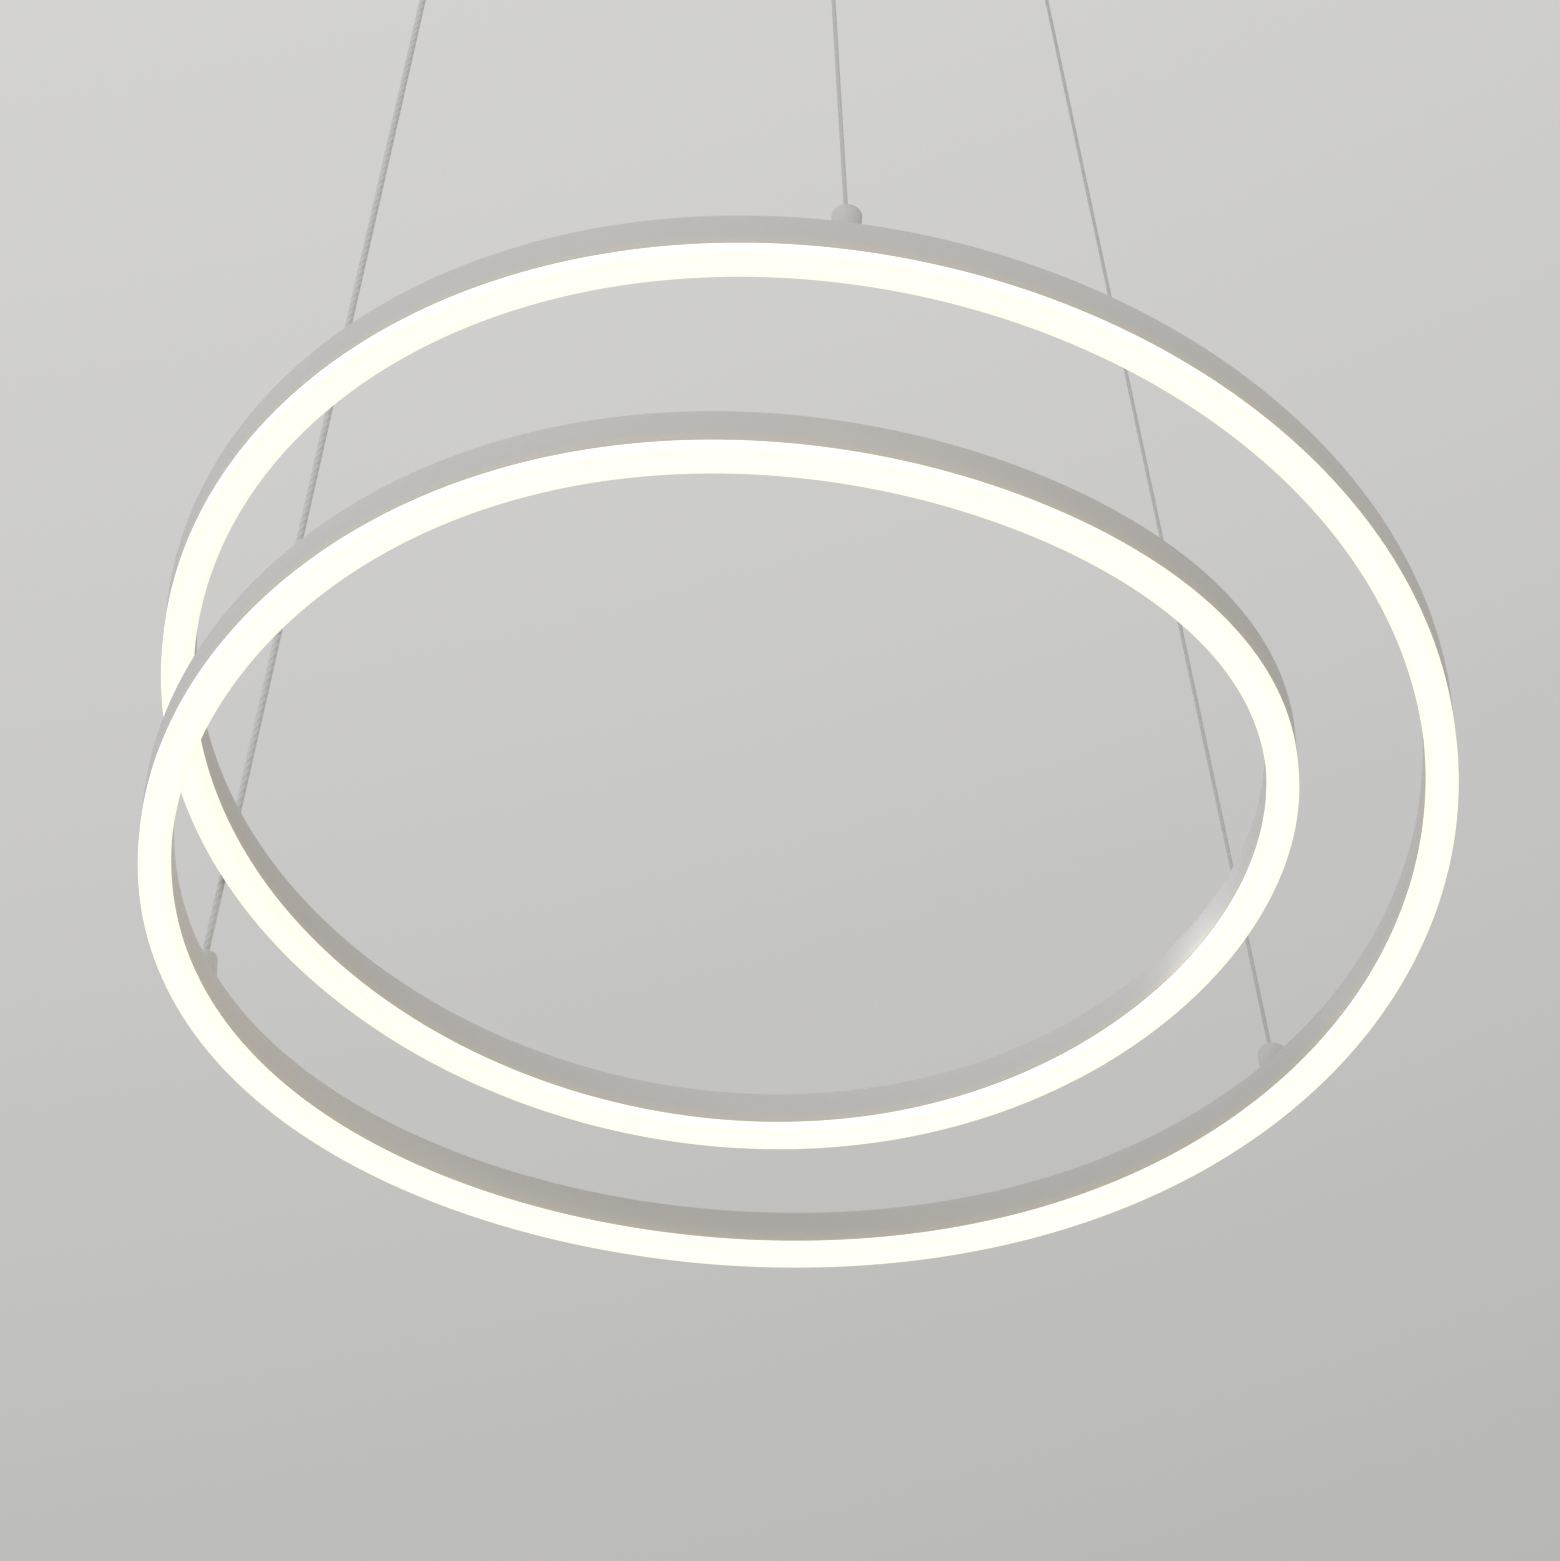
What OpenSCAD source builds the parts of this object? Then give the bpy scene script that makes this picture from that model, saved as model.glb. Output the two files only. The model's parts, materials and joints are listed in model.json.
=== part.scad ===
// Pendant light: one slim channel that runs twice round a ring before it closes on itself,
// hung from a round ceiling canopy on two steel wires and its power cord.
// Millimetres, Z up. The origin is the middle of the ceiling face of the ceiling plate.

/* [Double loop] */
// Mean radius of the two turns
loop_r = 280; // [250:5:320]
// How far the outer turn lies outside the mean radius and the inner turn inside it
loop_spread = 37.5; // [34:0.5:44]
// Where round the ring the turns are furthest apart, in degrees of the half turn
spread_turn = 6; // [0:1:12]
// How far the loop is drawn out to an oval
oval = 3; // [0:0.5:5]
// Direction of the oval
oval_turn = 100; // [80:1:120]
// Three-sided swell of the loop
trefoil = 1.2; // [0:0.2:2]
// Rise and fall of the channel over its two turns
loop_rise = 40.5; // [34:0.5:48]
// Where round the ring the rise begins
rise_turn = 79; // [74:1:84]
// Flattening of the rise near the crossing
rise_dip = 7.2; // [4:0.2:9]
// Slow wave in the height of the channel
wave = 3.2; // [0:0.2:4]
// Where the slow wave begins
wave_turn = 60; // [50:1:70]
// Three-fold wave in the height of the channel
wave_three = 2.5; // [0:0.5:4]
// Distance from the ceiling down to the middle height of the loop
drop = 1350; // [1100:10:1600]

/* [Channel] */
// Width over the walls
channel_w = 15; // [14:0.5:18]
// Height of the metal walls
channel_h = 18.6; // [18:0.2:24]
// Thickness of the side walls
wall_t = 1.3; // [1:0.1:1.6]
// Thickness of the top
top_t = 1.6; // [1.2:0.1:2]
// Thickness of the shelf that carries the light strip
shelf_t = 1.6; // [1.2:0.1:2]
// Clear height of the chamber between shelf and top
chamber_h = 6.6; // [6.2:0.1:7.4]
// Bevel along the upper edges
edge_bevel = 0.6; // [0.2:0.1:1]
// Turn at which the first channel section starts
section_start = 75; // [70:1:80]

/* [Diffuser] */
// Height of the diffuser below the walls
diffuser_h = 6.4; // [5:0.2:8]
// Thickness of its face
diffuser_t = 1.6; // [1.2:0.1:2]
// Thickness of its two legs
leg_t = 1.2; // [0.8:0.1:1.6]
// Length of the legs inside the channel
leg_h = 3.6; // [3:0.2:5]
// Rounding of the lower edges
diffuser_r = 2; // [1:0.2:2.6]
// Shadow line between wall and diffuser
seam = 0.15; // [0.1:0.05:0.3]
// Play between a leg and the channel wall
leg_play = 0.2; // [0.1:0.05:0.3]

/* [Light strip] */
// Width of the strip
strip_w = 8; // [6:0.5:9]
// Thickness of the strip
strip_t = 0.4; // [0.3:0.05:0.6]
// Length of a chip along the strip
chip_l = 3; // [2:0.1:3.5]
// Width of a chip
chip_w = 2.8; // [2:0.1:3.5]
// Height of a chip
chip_h = 0.7; // [0.5:0.1:1]

/* [Joiners] */
// Length of a joiner bar
joiner_l = 40; // [30:1:42]
// Width of a joiner bar
joiner_w = 10; // [8:0.5:10.4]
// Thickness of a joiner bar
joiner_t = 3; // [2:0.5:4]
// Diameter of its grub screws
grub_d = 3; // [2.5:0.5:4]
// Distance of a grub screw from the joint
grub_from_joint = 13; // [10:1:14]

/* [Swivel caps] */
// Diameter of the cap over each fixing point
cap_d = 13.5; // [13:0.1:14.5]
// Height of the cap
cap_h = 14; // [13:0.5:18]
// Rounding of its upper edge
cap_r = 1.8; // [1:0.1:2.5]
// Thickness of its crown
crown_t = 2.5; // [2:0.1:3]
// Diameter of the hollow stud inside the cap
stud_d = 9; // [8.6:0.1:9.4]
// Height of the stud inside the cap
stud_h = 5.5; // [4.5:0.1:5.6]
// Diameter of the shank that passes through the channel
shank_d = 6; // [5.6:0.1:6.4]
// Bore of the stud
stud_bore_d = 4.2; // [4:0.1:4.4]
// Thickness of the nut in the chamber
shank_nut_t = 3; // [2.4:0.2:3.6]
// Width over the flats of that nut
shank_nut_w = 10; // [9:0.2:10.4]
// Turn of the cap at the near side
near_turn = 636.5; // [630:0.5:642]
// Turn of the cap at the far right
right_turn = 37.5; // [32:0.5:42]
// Turn of the cap at the far left, where the power cord comes in
cord_turn = 159.2; // [154:0.2:164]

/* [Wires and cord] */
// Diameter of a steel wire
wire_d = 2; // [1.5:0.1:2.2]
// Diameter of the power cord
cord_d = 3.5; // [3:0.1:3.6]
// Diameter of the ball on the end of a wire
ball_d = 5.6; // [5:0.1:5.8]
// Room round a wire or the cord where it leaves its cap at a slant
slant_room = 1; // [0.9:0.05:1.1]
// Diameter of the crimp on the end of the cord
crimp_d = 7.5; // [6.5:0.1:8]
// Length of the crimp
crimp_l = 4; // [3:0.2:5]

/* [Canopy] */
// Diameter of the canopy
canopy_d = 310; // [300:2:340]
// Depth of the canopy below the ceiling
canopy_h = 45; // [44:1:55]
// Sheet thickness of the canopy
canopy_t = 1.2; // [1:0.1:1.6]
// Rounding of its lower edge
canopy_r = 6; // [4:0.5:8]
// Gap between canopy and ceiling
ceiling_gap = 1; // [0.5:0.5:2]
// Distance of the three outlets from the side of the canopy
outlet_edge = 17; // [16:1:23]
// Direction of the outlet of the near wire
near_outlet = -86; // [-90:1:-82]
// Direction of the outlet of the right wire
right_outlet = 39; // [35:1:43]
// Direction of the outlet of the power cord
cord_outlet = 165; // [160:1:169]

/* [Ceiling plate] */
// Sheet thickness of the plate
plate_t = 1.5; // [1.2:0.1:2]
// Depth of its rim
rim_h = 16; // [14:1:20]
// Gap between the rim and the canopy
rim_gap = 0.4; // [0.3:0.05:0.6]
// Distance between the middles of the two fixing slots
slot_spacing = 120; // [80:5:160]
// Width of a fixing slot
slot_w = 5.2; // [4.2:0.2:6.2]
// Length of a fixing slot over its round ends
slot_l = 16; // [12:1:20]
// Diameter of the hole for the supply cable
entry_d = 16; // [14:1:20]
// Clear bore of the grommet in that hole
grommet_d = 10; // [8:0.5:11]

/* [Canopy screws] */
// Diameter of the shank
screw_d = 4; // [3:0.5:5]
// Diameter of the knurled head
screw_head_d = 9; // [8:0.5:11]
// Length of the head
screw_head_l = 4; // [3:0.5:6]
// Depth of the screws below the ceiling
screw_z = 9; // [8:0.5:10]
// Direction of the first of the three screws
screw_turn = -24; // [-30:1:-18]
// Distance a screw can back out
screw_travel = 3; // [2:0.5:4]

/* [Wire adjusters] */
// Diameter of the body
adjuster_d = 12; // [11:0.5:14]
// Length of the body below the canopy
adjuster_l = 20; // [18:1:26]
// Diameter of the threaded neck through the canopy
neck_d = 9.8; // [9:0.2:10.4]
// Length of the neck above the canopy floor
neck_l = 8; // [7:0.5:10]
// Diameter of the release plunger
plunger_d = 7; // [6:0.1:7.6]
// Length of the plunger that stands out
plunger_out = 5; // [4:0.5:7]
// Travel of the plunger
plunger_travel = 2.5; // [1.5:0.5:3]
// Diameter of the spring wire
spring_wire_d = 0.8; // [0.6:0.1:1]
// Number of turns of the spring
spring_turns = 5; // [4:1:6]
// Gaps left between the turns when the plunger is pressed, all together
spring_slack = 5.5; // [4:0.5:6]

/* [Cord gland] */
// Diameter of the thread
gland_d = 12; // [11:0.5:13]
// Width over the flats of the collar
gland_collar_w = 17; // [16:0.5:18]
// Thickness of the collar
gland_collar_t = 4; // [3:0.5:5]
// Length of the thread below the collar
gland_l = 12; // [10:0.5:14]
// Diameter of the domed nut
gland_nut_d = 16; // [15.5:0.5:18]
// Length of the domed nut
gland_nut_l = 15; // [14:0.5:18]

/* [Driver] */
// Length of the case
driver_l = 190; // [160:5:200]
// Width of the case
driver_w = 48; // [40:1:54]
// Height of the case without its lid
driver_h = 24; // [22:1:28]
// Wall of the case
driver_wall = 1.5; // [1.2:0.1:2]
// Thickness of the lid
lid_t = 1.5; // [1.2:0.1:2]
// Distance of the driver from the middle of the canopy
driver_y = 47; // [42:1:52]
// Length of a fixing ear
ear_l = 12; // [11:1:14]
// Thickness of a fixing ear
ear_t = 2; // [1.5:0.5:3]

/* [Terminal block] */
// Pitch of its three ways
way_pitch = 11; // [10:0.5:12]
// Depth of the block
block_w = 24; // [22:1:28]
// Height of the block
block_h = 14; // [13:1:16]
// Length of a lever
lever_l = 15; // [12:1:17]
// Thickness of a lever
lever_t = 2.4; // [2:0.2:3]
// Diameter of the pin the levers turn on
lever_pin_d = 2; // [1.6:0.1:2.4]

/* [Hidden] */

$fn = 64;

// Fits: a face that seats, a part that turns or slides, a hole that only lets pass
seat = 0.05;
run_fit = 0.08;
pass_fit = 0.3;
// Overshoot of a cutting shape
cut = 1;

paint = "#c9c6c2";
opal = "#fffbee";
steel = "#b9bbbd";
brass = "#c9a95a";
white_plastic = "#e9e8e4";
copper = "#c77f4f";

// Channel levels, measured up from the lowest face of the diffuser
wall_v = diffuser_h;
top_v = diffuser_h + channel_h;
chamber_top_v = top_v - top_t;
chamber_floor_v = chamber_top_v - chamber_h;
shelf_v = chamber_floor_v - shelf_t;
half_w = channel_w / 2;
half_in = half_w - wall_t;
leg_out = half_in - leg_play;
leg_in = leg_out - leg_t;
strip_v = shelf_v - seat;

// The four sections of the channel, each half a turn long
SECTION_SPAN = 720 / 4;
STEPS = 36;
slice = SECTION_SPAN / STEPS;

function unit(a) = a / norm(a);

// Middle of the diffuser's lowest face at a turn of t degrees, over two full turns
function radius_at(t) = loop_r + loop_spread * cos(t / 2 - spread_turn)
  + oval * cos(2 * t - oval_turn) + trefoil * cos(3 * t);
function height_at(t) = loop_rise * cos(t / 2 + rise_turn) - rise_dip * cos(1.5 * t)
  - wave * cos(2.5 * t - wave_turn) + wave_three * cos(3 * t) - drop;
function path(t) = [radius_at(t) * cos(t), radius_at(t) * sin(t), height_at(t)];

// Along, outward and up directions of the channel
function along(t) = unit(path(t + 0.5) - path(t - 0.5));
function outward(t) = let (a = along(t)) unit([a.y, -a.x, 0]);
function upward(t) = cross(outward(t), along(t));
function on_channel(t, u, v) = path(t) + u * outward(t) + v * upward(t);

// Cross-sections as [outward, up] points
profile_section = [
  [half_w, wall_v], [half_w, top_v - edge_bevel], [half_w - edge_bevel, top_v],
  [edge_bevel - half_w, top_v], [-half_w, top_v - edge_bevel], [-half_w, wall_v],
  [-half_in, wall_v], [-half_in, shelf_v], [half_in, shelf_v], [half_in, wall_v],
  [-half_in, chamber_floor_v], [-half_in, chamber_top_v],
  [half_in, chamber_top_v], [half_in, chamber_floor_v]
];
// The chamber's loop runs the other way round, as the edge of a hole
profile_loops = [[0, 1, 2, 3, 4, 5, 6, 7, 8, 9], [10, 11, 12, 13]];
profile_ends = [[9, 0, 1, 12, 13, 8], [1, 2, 3, 4, 11, 12], [4, 5, 6, 7, 10, 11], [7, 8, 13, 10]];

shoulder_v = wall_v - seam;
CORNER_STEPS = 3;
diffuser_corner = [for (i = [0:CORNER_STEPS]) let (a = -90 * (1 - i / CORNER_STEPS))
  [half_w - diffuser_r + diffuser_r * cos(a), diffuser_r + diffuser_r * sin(a)]];
diffuser_section = concat(
  [for (i = [CORNER_STEPS:-1:0]) [-diffuser_corner[i].x, diffuser_corner[i].y]],
  diffuser_corner,
  [[half_w, shoulder_v], [leg_out, shoulder_v], [leg_out, wall_v + leg_h],
   [leg_in, wall_v + leg_h], [leg_in, diffuser_t], [-leg_in, diffuser_t],
   [-leg_in, wall_v + leg_h], [-leg_out, wall_v + leg_h], [-leg_out, shoulder_v],
   [-half_w, shoulder_v]]);
diffuser_loop = [for (i = [0:len(diffuser_section) - 1]) i];

strip_section = [[strip_w / 2, strip_v - strip_t], [strip_w / 2, strip_v],
  [-strip_w / 2, strip_v], [-strip_w / 2, strip_v - strip_t]];
strip_loop = [0, 1, 2, 3];

// Two triangles for each side of each slice of a sweep; n points a ring, loops of indices
function skin_faces(n, rings, loops) = [
  for (i = [0:rings - 2], loop = loops, j = [0:len(loop) - 1])
    let (a = i * n + loop[j], b = i * n + loop[(j + 1) % len(loop)])
      each [[a, b, b + n], [a, b + n, a + n]]];
function reversed(list) = [for (i = [len(list) - 1:-1:0]) list[i]];
function end_faces(ends, shift) = [for (end = ends) [for (i = end) i + shift]];

// A stretch of the channel's length with the given cross-section
module channel_run(section, loops, ends, start) {
  n = len(section);
  points = [for (i = [0:STEPS], p = section) on_channel(start + i * slice, p.x, p.y)];
  polyhedron(points, concat(
    skin_faces(n, STEPS + 1, loops),
    [for (end = ends) reversed(end)],
    end_faces(ends, n * STEPS)));
}

// Places its children on the channel at turn t and level v: X along it, Z away from its top
module at_channel(t, v) {
  a = along(t);
  translate(on_channel(t, 0, v))
    rotate([0, -asin(a.z), atan2(a.y, a.x)])
      children();
}

module profile_run(k) {
  channel_run(profile_section, profile_loops, profile_ends, section_start + k * SECTION_SPAN);
}

module diffuser_run(k) {
  color(opal)
    channel_run(diffuser_section, [diffuser_loop], [diffuser_loop],
      section_start + k * SECTION_SPAN);
}

module strip_run(k) {
  color("white")
    channel_run(strip_section, [strip_loop], [strip_loop], section_start + k * SECTION_SPAN);
}

// Hole in the channel's top for a stud
module shank_hole(t) {
  at_channel(t, chamber_top_v - cut)
    cylinder(h = top_t + 2 * cut, d = shank_d + 2 * run_fit);
}

feed_hole_d = 4;

module profile_outer_left() {
  color(paint)
    difference() {
      profile_run(0);
      shank_hole(cord_turn);
      at_channel(cord_turn, shelf_v - cut) cylinder(h = shelf_t + 2 * cut, d = feed_hole_d);
    }
}

module profile_inner_right() { color(paint) profile_run(1); }

module profile_inner_left() { color(paint) profile_run(2); }

module profile_outer_right() {
  color(paint)
    difference() {
      profile_run(3);
      shank_hole(near_turn);
      shank_hole(right_turn);
    }
}

module diffuser_outer_left() { diffuser_run(0); }

module diffuser_inner_right() { diffuser_run(1); }

module diffuser_inner_left() { diffuser_run(2); }

module diffuser_outer_right() { diffuser_run(3); }

module led_strip_outer_left() { strip_run(0); }

module led_strip_inner_right() { strip_run(1); }

module led_strip_inner_left() { strip_run(2); }

module led_strip_outer_right() { strip_run(3); }

// One chip in the middle of each slice of the strip
module led_chips() {
  color("gold")
    for (i = [0:4 * STEPS - 1]) {
      t = section_start + i * slice;
      a = on_channel(t, 0, strip_v - strip_t);
      b = on_channel(t + slice, 0, strip_v - strip_t);
      d = unit(b - a);
      translate((a + b) / 2)
        rotate([0, -asin(d.z), atan2(d.y, d.x)])
          translate([-chip_l / 2, -chip_w / 2, -chip_h - seat])
            cube([chip_l, chip_w, chip_h]);
    }
}

// A bar in the chamber across each joint, with two grub screws that press on the top
joiner_v = chamber_floor_v + 0.3;

module at_joints() {
  for (k = [0:3]) at_channel(section_start + k * SECTION_SPAN, joiner_v) children();
}

module joiner_bars() {
  color(steel)
    at_joints()
      difference() {
        translate([-joiner_l / 2, -joiner_w / 2, 0]) cube([joiner_l, joiner_w, joiner_t]);
        for (side = [-1, 1])
          translate([side * grub_from_joint, 0, -cut])
            cylinder(h = joiner_t + 2 * cut, d = grub_d + 2 * run_fit);
      }
}

module joiner_screws() {
  socket_d = 1.6;
  color("#5c5c5e")
    at_joints()
      for (side = [-1, 1])
        translate([side * grub_from_joint, 0, 0])
          difference() {
            cylinder(h = chamber_top_v - joiner_v - pass_fit, d = grub_d);
            translate([0, 0, -cut]) cylinder(h = 2 + cut, d = socket_d, $fn = 6);
          }
}

// Swivel cap: a turned cap over a hollow stud
cap_gap = 0.15;
cavity_v = cap_h - crown_t;

module rounded_disc(r, h, e) {
  rotate_extrude() {
    square([r - e, h]);
    square([r, h - e]);
    translate([r - e, h - e])
      intersection() {
        circle(e);
        square(e);
      }
  }
}

module swivel_cap(t, hole_d) {
  color(paint)
    at_channel(t, top_v + cap_gap)
      difference() {
        rounded_disc(cap_d / 2, cap_h, cap_r);
        translate([0, 0, -cut]) cylinder(h = cavity_v + cut, d = stud_d + 2 * run_fit);
        cylinder(h = cap_h + cut, d = hole_d);
      }
}

wire_hole_d = wire_d + 2 * slant_room;
cord_hole_d = cord_d + 2 * slant_room;

module swivel_cap_near() { swivel_cap(near_turn, wire_hole_d); }

module swivel_cap_right() { swivel_cap(right_turn, wire_hole_d); }

module swivel_cap_cord() { swivel_cap(cord_turn, cord_hole_d); }

module at_caps() {
  for (t = [near_turn, right_turn, cord_turn]) at_channel(t, top_v) children();
}

shank_l = top_t + shank_nut_t + 0.4;

module cap_studs() {
  color(steel)
    at_caps()
      difference() {
        union() {
          translate([0, 0, seat]) cylinder(h = stud_h, d = stud_d);
          translate([0, 0, -shank_l]) cylinder(h = shank_l + seat + cut, d = shank_d);
        }
        translate([0, 0, -shank_l - cut])
          cylinder(h = shank_l + stud_h + 3 * cut, d = stud_bore_d);
      }
}

module hex_nut(width, thickness, bore_d) {
  difference() {
    cylinder(h = thickness, d = width / cos(30), $fn = 6);
    translate([0, 0, -cut]) cylinder(h = thickness + 2 * cut, d = bore_d);
  }
}

module stud_nuts() {
  color(steel)
    at_caps()
      translate([0, 0, -top_t - shank_nut_t - seat])
        hex_nut(shank_nut_w, shank_nut_t, shank_d + 2 * run_fit);
}

// The ball on a wire's end seats under the hole in the crown, in line with the wire
ball_v = cavity_v + cap_gap - seat - sqrt(pow(ball_d / 2, 2) - pow(wire_hole_d / 2, 2));
function ball_at(t) = on_channel(t, 0, top_v + ball_v);

module in_line(from, to) {
  d = unit(to - from);
  translate(from) rotate([0, acos(d.z), atan2(d.y, d.x)]) children();
}

module wire_ball(t, angle) {
  in_line(ball_at(t), outlet(angle, bend_z))
    difference() {
      sphere(d = ball_d);
      translate([0, 0, -ball_d]) cylinder(h = 2 * ball_d, d = wire_d + 2 * seat);
    }
}

module wire_balls() {
  color(steel) {
    wire_ball(near_turn, near_outlet);
    wire_ball(right_turn, right_outlet);
  }
}

crimp_v = cavity_v + cap_gap - seat - crimp_l;

module cord_crimp() {
  color(steel)
    at_channel(cord_turn, top_v + crimp_v)
      difference() {
        cylinder(h = crimp_l, d = crimp_d);
        translate([0, 0, -cut]) cylinder(h = crimp_l + 2 * cut, d = cord_d + 2 * seat);
      }
}

// Tubes swept along a route of points
function route_dir(route, i) = unit(route[min(i + 1, len(route) - 1)] - route[max(i - 1, 0)]);
function tube_ring(centre, dir, r, sides) =
  let (guide = abs(dir.z) > 0.7 ? [1, 0, 0] : [0, 0, 1],
       a = unit(cross(guide, dir)), b = cross(dir, a))
    [for (k = [0:sides - 1]) centre + r * (cos(360 * k / sides) * a + sin(360 * k / sides) * b)];

module tube(route, d, sides = 8) {
  n = len(route);
  ring = [for (k = [0:sides - 1]) k];
  points = [for (i = [0:n - 1]) each tube_ring(route[i], route_dir(route, i), d / 2, sides)];
  polyhedron(points, concat(
    [for (face = skin_faces(sides, n, [ring])) reversed(face)],
    [ring],
    [[for (k = reversed(ring)) k + sides * (n - 1)]]));
}

// Levels of the canopy and of what hangs from it
floor_z = -canopy_h;
floor_top_z = floor_z + canopy_t;
adjuster_z = floor_z - adjuster_l;
plunger_z = adjuster_z - plunger_out;
neck_top_z = floor_top_z + neck_l;
gland_nut_z = floor_z - gland_collar_t - 1 - gland_nut_l;
outlet_r = canopy_d / 2 - outlet_edge;
function outlet(angle, z) = [outlet_r * cos(angle), outlet_r * sin(angle), z];

// A wire runs straight from its ball to the mouth of its outlet, and upright through it
bend = 4;
bend_z = plunger_z - bend;
wire_tail = 6;

module wire(t, angle) {
  ball = ball_at(t);
  color(steel)
    tube([
      ball - 1.5 * unit(outlet(angle, bend_z) - ball),
      outlet(angle, bend_z),
      outlet(angle, bend_z + bend),
      outlet(angle, neck_top_z + wire_tail)], wire_d);
}

module wire_near() { wire(near_turn, near_outlet); }

module wire_right() { wire(right_turn, right_outlet); }

// The cord comes up square to the channel, through the stud and its crimp, and slants
// off in the hole of its cap; inside the canopy it bends over towards the driver
cord_low_v = chamber_floor_v - top_v + 1;
// Share of the way from the outlet to the driver's end, and height over the canopy's floor
tail_course = [
  [0, 15], [0.03, 22], [0.117, 27], [0.233, 29], [0.487, 27], [0.762, 24], [1, 22]];
tail_start = outlet(cord_outlet, floor_z);
tail_end = [-driver_l / 2 - 13, 28 - driver_y, floor_z];
cord_tail = [for (p = tail_course) tail_start + p[0] * (tail_end - tail_start) + [0, 0, p[1]]];

module power_cord() {
  color(white_plastic)
    tube(concat([
      on_channel(cord_turn, 0, top_v + cord_low_v),
      on_channel(cord_turn, 0, top_v + crimp_v),
      on_channel(cord_turn, 0, top_v + cavity_v),
      outlet(cord_outlet, gland_nut_z - bend),
      outlet(cord_outlet, gland_nut_z)],
      cord_tail), cord_d);
}

core_d = 1.2;

module feed_leads() {
  color("tomato")
    for (side = [-1, 1])
      at_channel(cord_turn, strip_v + seat)
        translate([side * core_d * 0.6, 0, 0])
          cylinder(h = cord_low_v + top_v - strip_v - 2 * seat, d = core_d);
}

// Ceiling plate: a shallow cup whose rim the canopy slides over
canopy_in_r = canopy_d / 2 - canopy_t;
rim_r = canopy_in_r - rim_gap;
boss_d = 8;
grip_l = 2;
boss_l = screw_travel + grip_l;
SCREWS = 3;
function screw_angle(i) = screw_turn + i * 360 / SCREWS;

module at_screw(i, r) {
  rotate([0, 0, screw_angle(i)]) translate([r, 0, -screw_z]) rotate([0, 90, 0]) children();
}

module slot(length, width, height) {
  for (side = [-1, 1])
    translate([side * (length - width) / 2, 0, 0]) cylinder(h = height, d = width);
  translate([-(length - width) / 2, -width / 2, 0]) cube([length - width, width, height]);
}

module ceiling_plate() {
  color(steel)
    difference() {
      union() {
        difference() {
          translate([0, 0, -rim_h]) cylinder(h = rim_h, r = rim_r, $fn = 160);
          translate([0, 0, -rim_h - cut])
            cylinder(h = rim_h - plate_t + cut, r = rim_r - plate_t, $fn = 160);
        }
        for (i = [0:SCREWS - 1])
          at_screw(i, rim_r - plate_t - boss_l) cylinder(h = boss_l + plate_t / 2, d = boss_d);
      }
      for (i = [0:SCREWS - 1])
        at_screw(i, rim_r - plate_t - boss_l - cut)
          cylinder(h = boss_l + plate_t + 2 * cut, d = screw_d + 2 * run_fit);
      for (side = [-1, 1])
        translate([side * slot_spacing / 2, 0, -plate_t - cut])
          slot(slot_l, slot_w, plate_t + 2 * cut);
      translate([0, 0, -plate_t - cut]) cylinder(h = plate_t + 2 * cut, d = entry_d);
    }
}

// Rubber grommet in the entry hole, grooved over the edge of the plate
grommet_lip = 2;
grommet_lip_t = 1.5;

module entry_grommet() {
  color("#3a3a3c")
    difference() {
      union() {
        translate([0, 0, -plate_t - grommet_lip_t])
          cylinder(h = grommet_lip_t - seat, d = entry_d + 2 * grommet_lip);
        translate([0, 0, -plate_t - grommet_lip_t])
          cylinder(h = plate_t + grommet_lip_t - seat, d = entry_d - 2 * seat);
      }
      translate([0, 0, -plate_t - grommet_lip_t - cut])
        cylinder(h = plate_t + grommet_lip_t + 2 * cut, d = grommet_d);
    }
}

// Canopy: a drawn cup, open to the ceiling, with notches that pass the three screws
stem_d = 4;
stem_l = 9;
ear_stem_x = driver_l / 2 + ear_l / 2;
earth_x = 0;
earth_y = 62;
stem_places = [[-ear_stem_x, -driver_y], [ear_stem_x, -driver_y], [earth_x, earth_y]];

module cup(r, h, e) {
  translate([0, 0, -h]) mirror([0, 0, 1]) translate([0, 0, -h]) rounded_disc(r, h, e, $fn = 160);
}

module canopy() {
  notch_w = screw_d + 2 * pass_fit;
  color(paint) {
    difference() {
      translate([0, 0, -ceiling_gap]) cup(canopy_d / 2, canopy_h - ceiling_gap, canopy_r);
      translate([0, 0, cut]) cup(canopy_in_r, canopy_h - canopy_t + cut, canopy_r - canopy_t);
      for (angle = [near_outlet, right_outlet])
        translate(outlet(angle, floor_z - cut))
          cylinder(h = canopy_t + 2 * cut, d = neck_d + 2 * pass_fit);
      translate(outlet(cord_outlet, floor_z - cut))
        cylinder(h = canopy_t + 2 * cut, d = gland_d + 2 * pass_fit);
      for (i = [0:SCREWS - 1]) {
        at_screw(i, canopy_in_r - cut) cylinder(h = canopy_t + 2 * cut, d = notch_w);
        rotate([0, 0, screw_angle(i)])
          translate([canopy_in_r - cut, -notch_w / 2, -screw_z])
            cube([canopy_t + 2 * cut, notch_w, screw_z + cut]);
      }
    }
    for (p = stem_places)
      translate([p.x, p.y, floor_top_z - canopy_t / 2])
        cylinder(h = stem_l + canopy_t / 2, d = stem_d);
  }
}

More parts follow.
